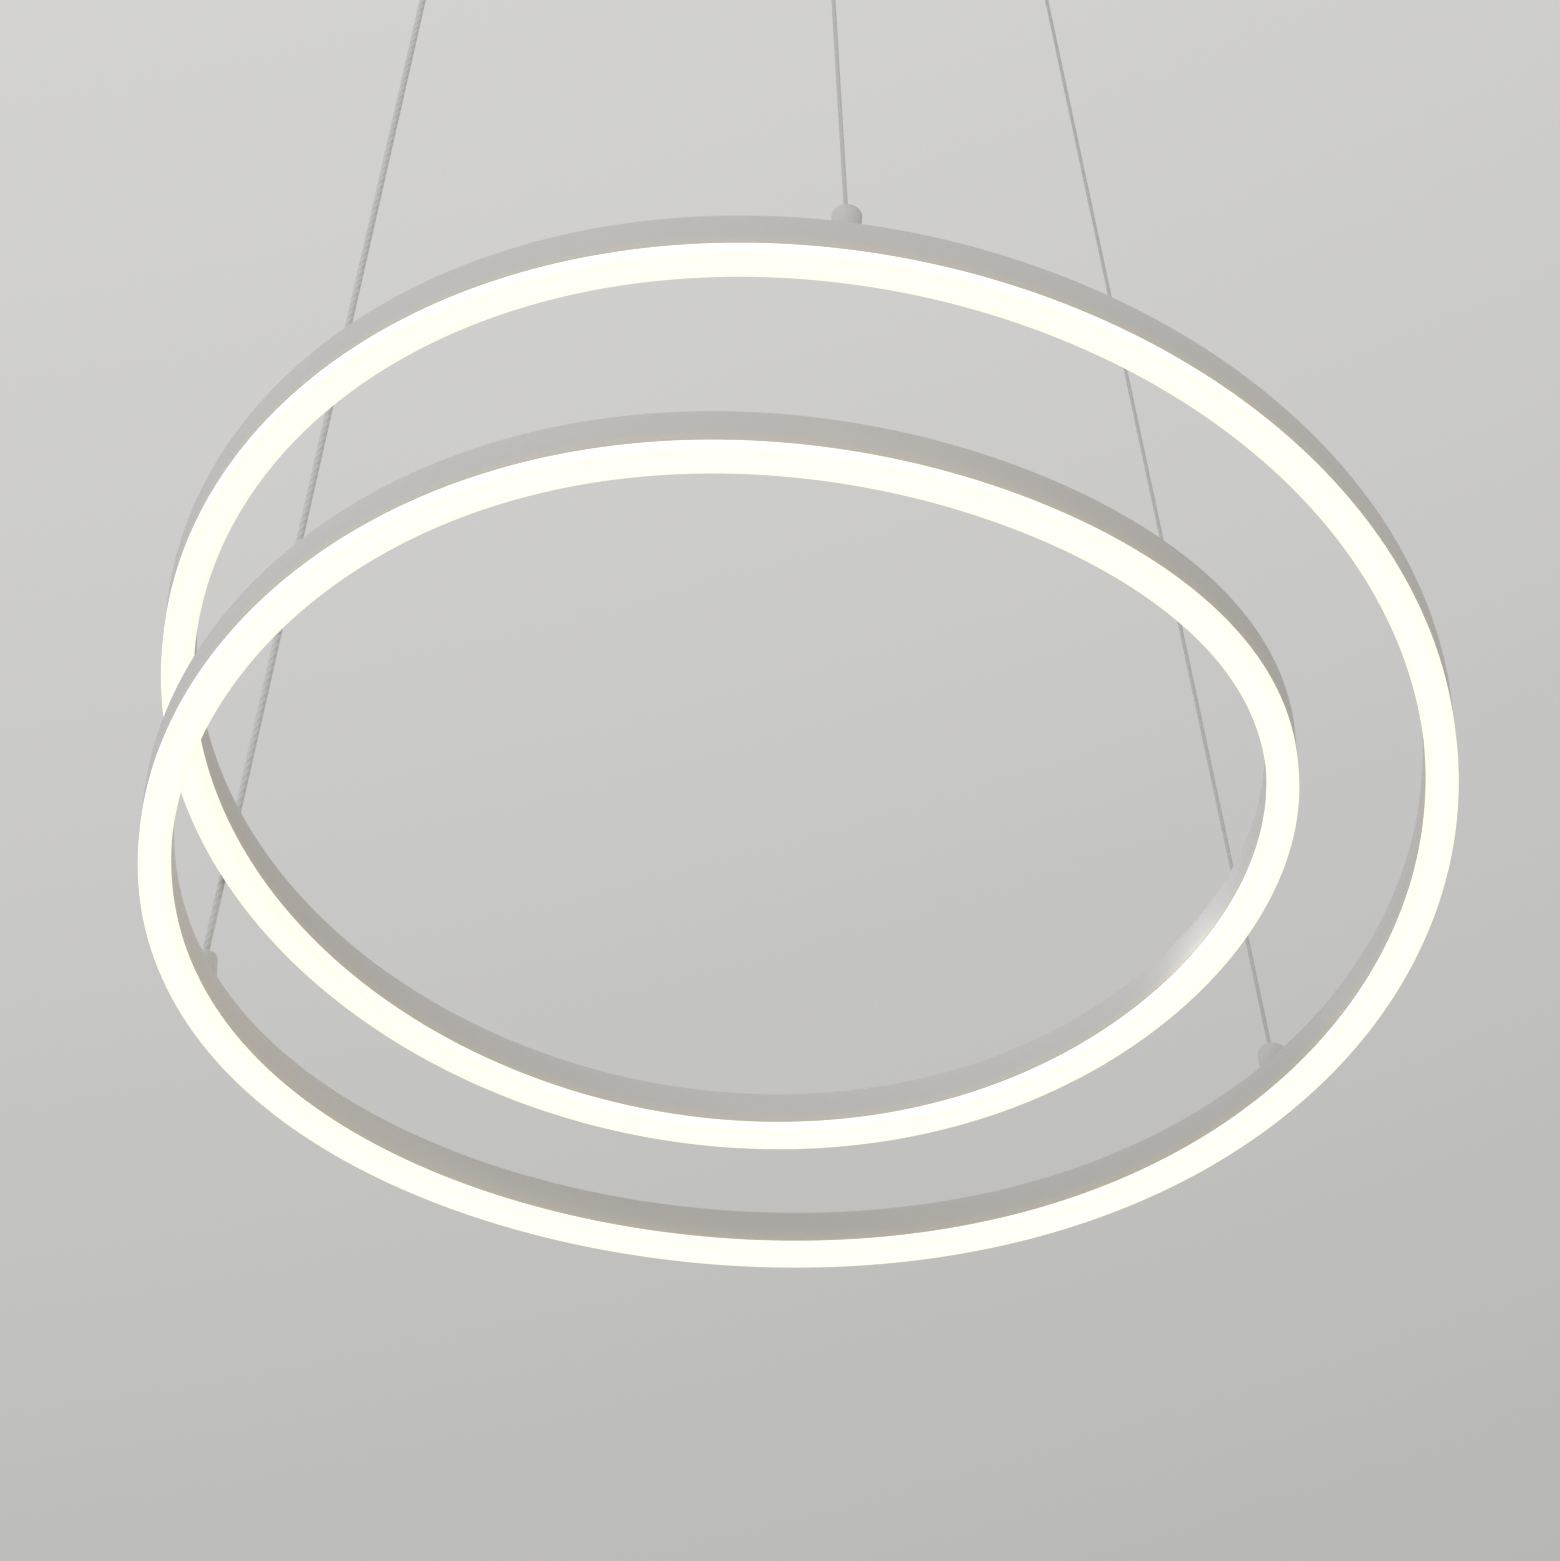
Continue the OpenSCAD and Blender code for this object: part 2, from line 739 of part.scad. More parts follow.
module canopy_screw(i) {
  groove_d = 1.2;
  GROOVES = 20;
  color(steel) {
    at_screw(i, canopy_d / 2 + seat)
      difference() {
        cylinder(h = screw_head_l, d = screw_head_d);
        for (k = [0:GROOVES - 1])
          rotate([0, 0, k * 360 / GROOVES])
            translate([screw_head_d / 2 + groove_d / 4, 0, -cut])
              cylinder(h = screw_head_l + 2 * cut, d = groove_d, $fn = 16);
      }
    at_screw(i, rim_r - plate_t - boss_l)
      cylinder(h = canopy_d / 2 + seat - rim_r + plate_t + boss_l + cut, d = screw_d);
  }
}

module canopy_screw_a() { canopy_screw(0); }

module canopy_screw_b() { canopy_screw(1); }

module canopy_screw_c() { canopy_screw(2); }

// Wire adjuster: a body with a sprung plunger; pressing the plunger frees the wire
lip_h = 3;
collar_h = 2;
collar_d = plunger_d + 1.6;
spring_room_d = collar_d + 2 * run_fit;
collar_z = adjuster_z + lip_h + seat;
spring_top_z = collar_z + collar_h + spring_turns * spring_wire_d + plunger_travel + spring_slack;
wire_bore_d = wire_d + 2 * pass_fit;
adjuster_r = 2;

module at_adjusters() {
  for (angle = [near_outlet, right_outlet]) translate(outlet(angle, 0)) children();
}

module adjuster_bodies() {
  color(steel)
    at_adjusters()
      difference() {
        union() {
          translate([0, 0, floor_z - seat]) mirror([0, 0, 1])
            rounded_disc(adjuster_d / 2, adjuster_l - seat, adjuster_r);
          translate([0, 0, floor_z - cut]) cylinder(h = canopy_t + neck_l + cut, d = neck_d);
        }
        translate([0, 0, adjuster_z + lip_h])
          cylinder(h = spring_top_z - adjuster_z - lip_h, d = spring_room_d);
        translate([0, 0, adjuster_z - cut]) cylinder(h = lip_h + 2 * cut, d = plunger_d + 2 * run_fit);
        translate([0, 0, adjuster_z]) cylinder(h = adjuster_l + canopy_t + neck_l + cut, d = wire_bore_d);
      }
}

module plunger(angle) {
  tip_r = 1;
  color("#8f9092")
    translate(outlet(angle, 0))
      difference() {
        union() {
          translate([0, 0, collar_z + cut]) mirror([0, 0, 1])
            rounded_disc(plunger_d / 2, collar_z + cut - plunger_z, tip_r);
          translate([0, 0, collar_z]) cylinder(h = collar_h, d = collar_d);
        }
        translate([0, 0, plunger_z - cut])
          cylinder(h = collar_z + collar_h - plunger_z + 2 * cut, d = wire_bore_d);
      }
}

module plunger_near() { plunger(near_outlet); }

module plunger_right() { plunger(right_outlet); }

SPRING_STEPS = 12;
spring_r = (collar_d - spring_wire_d) / 2 - run_fit;
spring_low_z = collar_z + collar_h + spring_wire_d / 2 + seat;
spring_high_z = spring_top_z - spring_wire_d / 2 - seat;

module spring(angle) {
  count = spring_turns * SPRING_STEPS;
  color("#6f7173")
    tube([for (i = [0:count])
      outlet(angle, 0) + [spring_r * cos(360 * i / SPRING_STEPS), spring_r * sin(360 * i / SPRING_STEPS),
        spring_low_z + (spring_high_z - spring_low_z) * i / count]], spring_wire_d, 6);
}

module spring_near() { spring(near_outlet); }

module spring_right() { spring(right_outlet); }

lock_nut_t = 4;
lock_nut_w = 14;
gland_lock_w = 17;

module outlet_lock_nuts() {
  color(brass) {
    at_adjusters()
      translate([0, 0, floor_top_z + seat]) hex_nut(lock_nut_w, lock_nut_t, neck_d + 2 * run_fit);
    translate(outlet(cord_outlet, floor_top_z + seat))
      hex_nut(gland_lock_w, lock_nut_t, gland_d + 2 * run_fit);
  }
}

// Cord gland: a threaded body, a soft sleeve round the cord and a domed nut
gland_bore_d = 8;
sleeve_fit = 0.15;
sleeve_l = 9;
gland_low_z = floor_z - gland_collar_t - gland_l;
gland_all_l = neck_top_z - gland_low_z;

module gland_body() {
  color(white_plastic)
    translate(outlet(cord_outlet, 0))
      difference() {
        union() {
          translate([0, 0, floor_z - seat - gland_collar_t])
            cylinder(h = gland_collar_t, d = gland_collar_w / cos(30), $fn = 6);
          translate([0, 0, gland_low_z]) cylinder(h = gland_all_l, d = gland_d);
        }
        translate([0, 0, gland_low_z - cut])
          cylinder(h = sleeve_l + cut + seat, d = gland_bore_d);
        translate([0, 0, gland_low_z])
          cylinder(h = gland_all_l + cut, d = cord_d + 2 * pass_fit);
      }
}

module gland_sleeve() {
  color("#4a4a4c")
    translate(outlet(cord_outlet, gland_low_z))
      difference() {
        cylinder(h = sleeve_l, d = gland_bore_d - 2 * sleeve_fit);
        translate([0, 0, -cut]) cylinder(h = sleeve_l + 2 * cut, d = cord_d + 2 * seat);
      }
}

gland_nut_r = 4;

module gland_nut() {
  RIBS = 12;
  rib_d = 1.6;
  nut_top_z = gland_nut_z + gland_nut_l;
  color(white_plastic)
    translate(outlet(cord_outlet, 0))
      difference() {
        union() {
          translate([0, 0, nut_top_z]) mirror([0, 0, 1])
            rounded_disc(gland_nut_d / 2, gland_nut_l, gland_nut_r);
          for (k = [0:RIBS - 1])
            rotate([0, 0, k * 360 / RIBS])
              translate([gland_nut_d / 2 - rib_d / 4, 0, gland_nut_z + gland_nut_r])
                cylinder(h = gland_nut_l - gland_nut_r - 1, d = rib_d, $fn = 16);
        }
        translate([0, 0, gland_low_z - pass_fit])
          cylinder(h = nut_top_z - gland_low_z + pass_fit + cut, d = gland_d + 2 * run_fit);
        translate([0, 0, gland_nut_z - cut]) cylinder(h = gland_nut_l, d = cord_d + 2 * pass_fit);
      }
}

// Driver: case, board and lid on the canopy floor, held by nuts on two stems
driver_z = floor_top_z + seat;
board_z = driver_z + driver_wall + 3;
board_t = 1.6;
lead_hole_d = 5;
lead_hole_z = driver_z + driver_h - 6;

module driver_case() {
  inner_l = driver_l - 2 * driver_wall;
  inner_w = driver_w - 2 * driver_wall;
  color(white_plastic)
    translate([0, -driver_y, 0])
      difference() {
        union() {
          translate([-driver_l / 2, -driver_w / 2, driver_z]) cube([driver_l, driver_w, driver_h]);
          translate([-driver_l / 2 - ear_l, -driver_w / 4, driver_z])
            cube([driver_l + 2 * ear_l, driver_w / 2, ear_t]);
        }
        translate([-inner_l / 2, -inner_w / 2, driver_z + driver_wall])
          cube([inner_l, inner_w, driver_h + cut]);
        for (side = [-1, 1]) {
          translate([side * ear_stem_x, 0, driver_z - cut])
            cylinder(h = ear_t + 2 * cut, d = stem_d + 2 * pass_fit);
          translate([side * (driver_l / 2 - driver_wall / 2) - driver_wall / 2 - cut, 0, lead_hole_z])
            rotate([0, 90, 0]) cylinder(h = driver_wall + 2 * cut, d = lead_hole_d);
        }
      }
}

module driver_lid() {
  lip_h = 2;
  lip_t = 1.2;
  inner_l = driver_l - 2 * driver_wall - 2 * pass_fit;
  inner_w = driver_w - 2 * driver_wall - 2 * pass_fit;
  VENTS = 8;
  vent_pitch = 14;
  color(white_plastic)
    translate([0, -driver_y, driver_z + driver_h + seat])
      difference() {
        union() {
          translate([-driver_l / 2, -driver_w / 2, 0]) cube([driver_l, driver_w, lid_t]);
          translate([-inner_l / 2, -inner_w / 2, -lip_h])
            difference() {
              cube([inner_l, inner_w, lip_h + lid_t / 2]);
              translate([lip_t, lip_t, -cut])
                cube([inner_l - 2 * lip_t, inner_w - 2 * lip_t, lip_h + cut]);
            }
        }
        for (k = [0:VENTS - 1])
          translate([(k - (VENTS - 1) / 2) * vent_pitch, 0, -cut])
            rotate([0, 0, 90]) slot(driver_w / 2, 3, lid_t + 2 * cut);
      }
}

module driver_board() {
  clear = 1;
  post_d = 5;
  color("seagreen")
    translate([0, -driver_y, 0]) {
      translate([-driver_l / 2 + driver_wall + clear, -driver_w / 2 + driver_wall + clear, board_z])
        cube([driver_l - 2 * (driver_wall + clear), driver_w - 2 * (driver_wall + clear), board_t]);
      for (x = [-1, 1], y = [-1, 1])
        translate([x * (driver_l / 2 - 10), y * (driver_w / 2 - 8), driver_z + driver_wall + seat])
          cylinder(h = board_z - driver_z - driver_wall, d = post_d);
      translate([-18, -13, board_z + board_t - seat]) cube([30, 26, 14]);
      for (x = [-58, -42, 40])
        translate([x, 0, board_z + board_t - seat]) cylinder(h = 13, d = 12);
      translate([58, -10, board_z + board_t - seat]) cube([16, 20, 8]);
    }
}

stem_nut_t = 3.2;
stem_nut_w = 7;
lug_t = 0.8;

module floor_nuts() {
  color(steel) {
    for (side = [-1, 1])
      translate([side * ear_stem_x, -driver_y, driver_z + ear_t + seat])
        hex_nut(stem_nut_w, stem_nut_t, stem_d + 2 * run_fit);
    translate([earth_x, earth_y, floor_top_z + 2 * seat + lug_t])
      hex_nut(stem_nut_w, stem_nut_t, stem_d + 2 * run_fit);
  }
}

// Terminal block: three ways, each with a copper clamp and a lever on a common pin
WAYS = 3;
block_x = 50;
block_y = 30;
block_z = floor_top_z + seat;
cheek_t = 1.5;
block_l = WAYS * way_pitch + cheek_t;
pin_y = block_w - 4;
barrel_d = 5;
lever_gap = 0.3;
pin_z = block_h + barrel_d / 2 + lever_gap;
pocket_w = way_pitch - cheek_t - 2;
conductor_d = 3.4;
conductor_z = 5.5;
function way_x(i) = cheek_t + way_pitch * i + (way_pitch - cheek_t) / 2;

module at_block() {
  translate([block_x - block_l / 2, block_y, block_z]) children();
}

module terminal_block() {
  color("#d8d8d4")
    at_block()
      difference() {
        union() {
          cube([block_l, block_w, block_h]);
          for (i = [0:WAYS])
            translate([i * way_pitch, pin_y - barrel_d / 2, 0])
              cube([cheek_t, barrel_d, pin_z + barrel_d / 2]);
        }
        translate([-cut, pin_y, pin_z]) rotate([0, 90, 0])
          cylinder(h = block_l + 2 * cut, d = lever_pin_d + 2 * run_fit);
        for (i = [0:WAYS - 1]) {
          translate([way_x(i) - pocket_w / 2, 3, 3]) cube([pocket_w, block_w - 6, block_h - 5]);
          translate([way_x(i), -cut, conductor_z]) rotate([-90, 0, 0])
            cylinder(h = block_w + 2 * cut, d = conductor_d);
        }
      }
}

module terminal_contacts() {
  bar_t = 0.8;
  clear = 0.2;
  color(copper)
    at_block()
      for (i = [0:WAYS - 1])
        translate([way_x(i) - pocket_w / 2 + clear, 3 + clear, 3 + seat])
          cube([pocket_w - 2 * clear, block_w - 6 - 2 * clear, bar_t]);
}

module lever_pin() {
  color(steel)
    at_block()
      translate([seat, pin_y, pin_z]) rotate([0, 90, 0]) cylinder(h = block_l - 2 * seat, d = lever_pin_d);
}

module terminal_lever(i, tint) {
  side_gap = 0.3;
  lever_w = way_pitch - cheek_t - 2 * side_gap;
  color(tint)
    at_block()
      translate([way_x(i) - lever_w / 2, pin_y, pin_z])
        difference() {
          union() {
            rotate([0, 90, 0]) cylinder(h = lever_w, d = barrel_d);
            translate([0, -lever_l, -barrel_d / 2]) cube([lever_w, lever_l, lever_t]);
          }
          translate([-cut, 0, 0]) rotate([0, 90, 0])
            cylinder(h = lever_w + 2 * cut, d = lever_pin_d + 2 * run_fit);
        }
}

module terminal_lever_live() { terminal_lever(2, "#a86a3c"); }

module terminal_lever_neutral() { terminal_lever(1, "#3f6fa8"); }

module terminal_lever_earth() { terminal_lever(0, "#5c9a4a"); }

// Inner leads, along hand-laid routes on the canopy floor
lead_d = 2.2;
lug_lead_z = lug_t + lead_d / 2 + 0.1;
// Points by the block's ways, by the holes in the driver's ends, and by the earth stem
function by_way(i, x, y, z) =
  [block_x - block_l / 2 + way_x(i) + x, block_y + y, block_z + conductor_z + z];
function by_driver(side, x, y, z) = [side * (driver_l / 2 + x), y - driver_y, lead_hole_z + z];
function by_stem(x, y, z) = [earth_x + x, earth_y + y, floor_top_z + seat + lug_lead_z + z];
live_route = [
  by_way(2, 0, 4, 0), by_way(2, 0, -6, 0), by_way(2, 4, -19, 2.2),
  by_driver(1, -17, 47, -6.2), by_driver(1, -1, 36, -2.2), by_driver(1, 10, 24, 0),
  by_driver(1, 14, 11, 0), by_driver(1, 10, 1, 0), by_driver(1, 3, -1.3, 0),
  by_driver(1, -4, -1.3, 0)];
neutral_route = [
  by_way(1, 0, 4, 0), by_way(1, 0, -8, 0), by_way(1, 5, -22, 2.2),
  by_driver(1, -25, 44, -6.2), by_driver(1, -7, 35, -3.2), by_driver(1, 4.5, 24.5, -1),
  by_driver(1, 7.5, 13, 0), by_driver(1, 6, 5, 0), by_driver(1, 2.5, 1.3, 0),
  by_driver(1, -4, 1.3, 0)];
earth_route = [
  by_way(0, 0, 4, 0), by_way(0, 0, -0.5, 0), by_way(0, -0.7, -3.2, -0.1),
  by_way(0, -2.5, -5.1, -0.4), by_way(0, -5.5, -5.9, -0.9), by_stem(24, -37.4, 1.3),
  by_stem(16, -35, 0.4), by_stem(9, -30.5, 0), by_stem(4, -24, 0), by_stem(1, -17, 0),
  by_stem(0, -11, 0), by_stem(0, -6, 0)];

module live_lead() { color("#8a5a33") tube(live_route, lead_d); }

module neutral_lead() { color("#35619c") tube(neutral_route, lead_d); }

module earth_lead() { color("#7fa63e") tube(earth_route, lead_d); }

// Ring tag with a short barrel for the earth lead
lug_d = 10;
barrel_l = 7;
lug_barrel_d = lead_d + 1;

module earth_lug() {
  color(copper)
    translate([earth_x, earth_y, floor_top_z + seat])
      difference() {
        union() {
          cylinder(h = lug_t, d = lug_d);
          translate([0, 1 - lug_d / 2, lug_lead_z]) rotate([90, 0, 0])
            cylinder(h = barrel_l, d = lug_barrel_d);
        }
        translate([0, 0, -cut]) cylinder(h = lug_t + 2 * cut, d = stem_d + 2 * pass_fit);
        translate([0, -lug_d / 2, lug_lead_z]) rotate([90, 0, 0])
          cylinder(h = barrel_l + cut, d = lead_d + 2 * run_fit);
      }
}

// Two cores run on from the end of the cord into the driver
output_route = [
  cord_tail[6] + 0.15 * unit(cord_tail[6] - cord_tail[5]), by_driver(-1, 10, 20, 1.25),
  by_driver(-1, 8, 11, 0.25), by_driver(-1, 7, 4, 0), by_driver(-1, 3, 0, 0),
  by_driver(-1, -4, 0, 0)];

module output_leads() {
  color("tomato")
    for (side = [-1, 1])
      tube([for (i = [0:len(output_route) - 1])
        let (d = route_dir(output_route, i))
          output_route[i] + side * 0.6 * core_d * unit([d.y, -d.x, 0])], core_d);
}

profile_outer_left();
profile_inner_right();
profile_inner_left();
profile_outer_right();
diffuser_outer_left();
diffuser_inner_right();
diffuser_inner_left();
diffuser_outer_right();
led_strip_outer_left();
led_strip_inner_right();
led_strip_inner_left();
led_strip_outer_right();
led_chips();
joiner_bars();
joiner_screws();
swivel_cap_near();
swivel_cap_right();
swivel_cap_cord();
cap_studs();
stud_nuts();
wire_balls();
cord_crimp();
feed_leads();
wire_near();
wire_right();
power_cord();
ceiling_plate();
entry_grommet();
canopy();
canopy_screw_a();
canopy_screw_b();
canopy_screw_c();
adjuster_bodies();
plunger_near();
plunger_right();
spring_near();
spring_right();
outlet_lock_nuts();
gland_body();
gland_nut();
gland_sleeve();
driver_case();
driver_lid();
driver_board();
floor_nuts();
terminal_block();
terminal_contacts();
lever_pin();
terminal_lever_live();
terminal_lever_neutral();
terminal_lever_earth();
live_lead();
neutral_lead();
earth_lead();
earth_lug();
output_leads();
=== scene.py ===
"""The looks of a pendant light: one slim lit channel in a double loop under a round canopy."""

import json
import logging
import math
from collections.abc import Iterable, Sequence
from dataclasses import dataclass, field
from enum import Enum

import bmesh
import bpy
from mathutils import Matrix, Vector


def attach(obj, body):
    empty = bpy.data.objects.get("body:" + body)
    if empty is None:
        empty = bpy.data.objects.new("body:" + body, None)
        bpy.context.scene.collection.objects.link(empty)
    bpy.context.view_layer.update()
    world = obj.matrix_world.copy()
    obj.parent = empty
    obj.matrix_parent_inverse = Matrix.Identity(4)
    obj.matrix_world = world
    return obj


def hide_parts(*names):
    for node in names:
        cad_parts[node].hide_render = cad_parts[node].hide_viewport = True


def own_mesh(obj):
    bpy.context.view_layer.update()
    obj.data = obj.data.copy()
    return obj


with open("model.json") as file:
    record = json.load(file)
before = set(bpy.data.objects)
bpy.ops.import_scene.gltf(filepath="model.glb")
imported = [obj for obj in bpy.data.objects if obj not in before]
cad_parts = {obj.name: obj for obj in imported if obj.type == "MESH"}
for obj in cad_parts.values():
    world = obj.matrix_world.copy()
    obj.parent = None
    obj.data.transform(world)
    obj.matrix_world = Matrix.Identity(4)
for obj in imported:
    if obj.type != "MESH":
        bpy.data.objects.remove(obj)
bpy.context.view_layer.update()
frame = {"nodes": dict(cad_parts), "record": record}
MM = 0.001
HUNG_LIGHT = "hung_light"
LOG = logging.getLogger("pendant_light")

Colour = tuple[float, float, float]
Outline = list[tuple[float, float]]
Route = Sequence[tuple[float, float, float]]
Line = Sequence[Vector]
Piece = bpy.types.Object


class Section(Enum):
    """The four half-turn sections of the channel, in order along it."""

    OUTER_LEFT = "outer_left"
    INNER_RIGHT = "inner_right"
    INNER_LEFT = "inner_left"
    OUTER_RIGHT = "outer_right"


class Fusion(Enum):
    """The two ways in which one solid works on another."""

    CUT = "DIFFERENCE"
    UNITE = "UNION"


# Shader maths


class Value:
    """One socket of a shader tree, on which arithmetic adds Math nodes."""

    def __init__(self, recipe: "Recipe", socket: bpy.types.NodeSocket | None) -> None:
        """Wraps an output socket of a recipe's tree, or None for a node without outputs."""
        self.recipe = recipe
        self.socket = socket

    def _maths(self, operation: str, *values: "Value | float") -> "Value":
        """Adds one Math node and returns its result."""
        return self.recipe.add("ShaderNodeMath", {"operation": operation}, dict(enumerate(values)))

    def __add__(self, other: "Value | float") -> "Value":
        """self + other."""
        return self._maths("ADD", self, other)

    __radd__ = __add__

    def __sub__(self, other: "Value | float") -> "Value":
        """self - other."""
        return self._maths("SUBTRACT", self, other)

    def __rsub__(self, other: float) -> "Value":
        """other - self."""
        return self._maths("SUBTRACT", other, self)

    def __mul__(self, other: "Value | float") -> "Value":
        """self * other."""
        return self._maths("MULTIPLY", self, other)

    __rmul__ = __mul__

    def __truediv__(self, other: "Value | float") -> "Value":
        """self / other."""
        return self._maths("DIVIDE", self, other)

    def most(self, other: "Value | float") -> "Value":
        """The larger of the two."""
        return self._maths("MAXIMUM", self, other)

    def wave(self) -> "Value":
        """The sine, moved to run from 0 to 1."""
        return self._maths("SINE", self) * 0.5 + 0.5

    def size(self) -> "Value":
        """The absolute value."""
        return self._maths("ABSOLUTE", self)

    def step(self, low: float, high: float) -> "Value":
        """Rises smoothly from 0 at low to 1 at high."""
        return self.recipe.add("ShaderNodeMapRange", {"interpolation_type": "SMOOTHSTEP"},
                               {"Value": self, "From Min": low, "From Max": high})

    def beside(self, output: str | int) -> "Value":
        """Another output of the same node."""
        return Value(self.recipe, self.socket.node.outputs[output])


class Recipe:
    """The node tree of one material or world."""

    def __init__(self, tree: bpy.types.NodeTree) -> None:
        """Takes a node tree to fill, and empties it."""
        self.tree = tree
        tree.nodes.clear()

    def add(
        self,
        kind: str,
        settings: dict[str, object] | None = None,
        inputs: "dict[str | int, Value | object] | None" = None,
        output: str | int = 0,
    ) -> Value:
        """Adds a node.

        Args:
            kind: The node's type.
            settings: Properties of the node, set first.
            inputs: Values or links for its sockets, by name or place.
            output: The output to return, by name or place.

        Returns:
            The chosen output.
        """
        node = self.tree.nodes.new(kind)
        for name, value in (settings or {}).items():
            setattr(node, name, value)
        for key, value in (inputs or {}).items():
            socket = node.inputs[key]
            if isinstance(value, Value):
                self.tree.links.new(value.socket, socket)
            elif isinstance(value, tuple) and socket.type == "RGBA":
                socket.default_value = (*value, 1.0)
            else:
                socket.default_value = value
        return Value(self, node.outputs[output] if node.outputs else None)

    def place(self) -> Value:
        """Object coordinates, in metres."""
        return self.add("ShaderNodeTexCoord", output="Object")

    def along_piece(self) -> tuple[Value, Value]:
        """The piece's own UV map.

        Returns:
            The share of the way round or over its section, and the metres along its length.
        """
        uv = self.add("ShaderNodeUVMap", {"uv_map": "UVMap"})
        around = self.add("ShaderNodeSeparateXYZ", inputs={0: uv})
        return around, around.beside(1)

    def twist(self, lay: float, strands: int) -> Value:
        """Ridges from 0 to 1 that wind round a piece.

        Args:
            lay: The length in which they go once round, in metres.
            strands: How many there are.

        Returns:
            Their height.
        """
        around, along = self.along_piece()
        return ((around - along / lay) * (math.tau * strands)).wave()

    def noise(self, scale: float, detail: float = 3.0, stretch: Vector | None = None) -> Value:
        """Noise from 0 to 1 on Object coordinates.

        Args:
            scale: Features per metre.
            detail: Octaves.
            stretch: Scale of each axis, for a grain that runs one way.

        Returns:
            The noise's value.
        """
        where = self.place()
        if stretch is not None:
            where = self.add("ShaderNodeMapping", inputs={"Vector": where, "Scale": stretch})
        return self.add("ShaderNodeTexNoise",
                        inputs={"Vector": where, "Scale": scale, "Detail": detail})

    def mix(self, factor: Value | float, low: Colour | Value, high: Colour | Value) -> Value:
        """Mixes two colours."""
        return self.add("ShaderNodeMix", {"data_type": "RGBA"}, {0: factor, 6: low, 7: high}, 2)

    def bump(self, height: Value, distance: float, strength: float) -> Value:
        """A bump of that height in metres, for a Normal socket."""
        return self.add("ShaderNodeBump", inputs={
            "Height": height, "Distance": distance, "Strength": strength})

    def surface(self, inputs: "dict[str | int, Value | object]") -> None:
        """Ends the tree with a Principled shader that has these inputs."""
        shader = self.add("ShaderNodeBsdfPrincipled", inputs=inputs)
        self.add("ShaderNodeOutputMaterial", inputs={"Surface": shader})


def toned(colour: Colour, share: float) -> Colour:
    """The colour, made darker or paler by a share."""
    return tuple(share * c for c in colour)


# Finishes


@dataclass(frozen=True)
class Finish:
    """What every finish has: a name, the record's slot, a tint that dulls, and a relief."""

    name: str
    slot: str
    tint: Colour
    roughness: float
    dull: float = 0.9
    drift: float = 0.1
    metallic: float = 0.0
    relief_depth: float = 0.00001
    relief_strength: float = 0.5

    def dress(self, recipe: Recipe) -> None:
        """Fills the recipe. Each finish has its own."""
        raise NotImplementedError

    def uneven(self, recipe: Recipe, amount: Value) -> Value:
        """The tint, dull where the amount is 0 and full where it is 1."""
        return recipe.mix(amount, toned(self.tint, self.dull), self.tint)

    def worn(self, amount: Value) -> Value:
        """The roughness, which grows with the amount."""
        return self.roughness + self.drift * amount

    def coat(self, recipe: Recipe, shade: Value, rough: Value, relief: Value,
             glow: "dict[str, Value | float] | None" = None) -> None:
        """Ends the recipe with the finish's surface.

        Args:
            recipe: The recipe of the finish's material.
            shade: The colour.
            rough: The roughness.
            relief: The height of the fine relief, from 0 to 1.
            glow: Sockets for light of its own.
        """
        normal = recipe.bump(relief, self.relief_depth, self.relief_strength)
        shader = {"Base Color": shade, "Metallic": self.metallic, "Roughness": rough,
                  "Normal": normal}
        recipe.surface(shader | (glow or {}))

    def material(self) -> bpy.types.Material:
        """The finish's material, made once.

        Returns:
            The material.
        """
        found = bpy.data.materials.get(self.name)
        if found is None:
            found = bpy.data.materials.new(self.name)
            found.use_nodes = True
            self.dress(Recipe(found.node_tree))
        return found


@dataclass(frozen=True)
class PowderCoat(Finish):
    """Matt pale powder coat with a pearl lustre: a fine orange peel and a faint cloudiness."""

    tint: Colour = (0.463, 0.446, 0.43)
    roughness: float = 0.37
    dull: float = 0.975
    drift: float = 0.05
    metallic: float = 0.12
    relief_depth: float = 0.000004
    relief_strength: float = 0.3
    pale: float = 1.02
    cloud_scale: float = 11.0
    patch_scale: float = 40.0
    peel_scale: float = 350.0
    pearl: Colour = (0.60, 0.595, 0.585)
    pearl_share: float = 0.035
    pearl_scale: float = 900.0
    pearl_range: tuple[float, float] = (0.4, 0.8)

    def shade(self, recipe: Recipe) -> Value:
        """The coat's colour, a little uneven.

        Args:
            recipe: The recipe of the finish's material.

        Returns:
            The colour.
        """
        cloud = recipe.noise(self.cloud_scale)
        speck = recipe.noise(self.pearl_scale, 1.0).step(*self.pearl_range) * self.pearl_share
        plain = recipe.mix(cloud, toned(self.tint, self.dull), toned(self.tint, self.pale))
        return recipe.mix(speck, plain, self.pearl)

    def dress(self, recipe: Recipe) -> None:
        """Fills the recipe with the coat."""
        self.coat(recipe, self.shade(recipe), self.worn(recipe.noise(self.patch_scale)),
                  recipe.noise(self.peel_scale, 1.0))


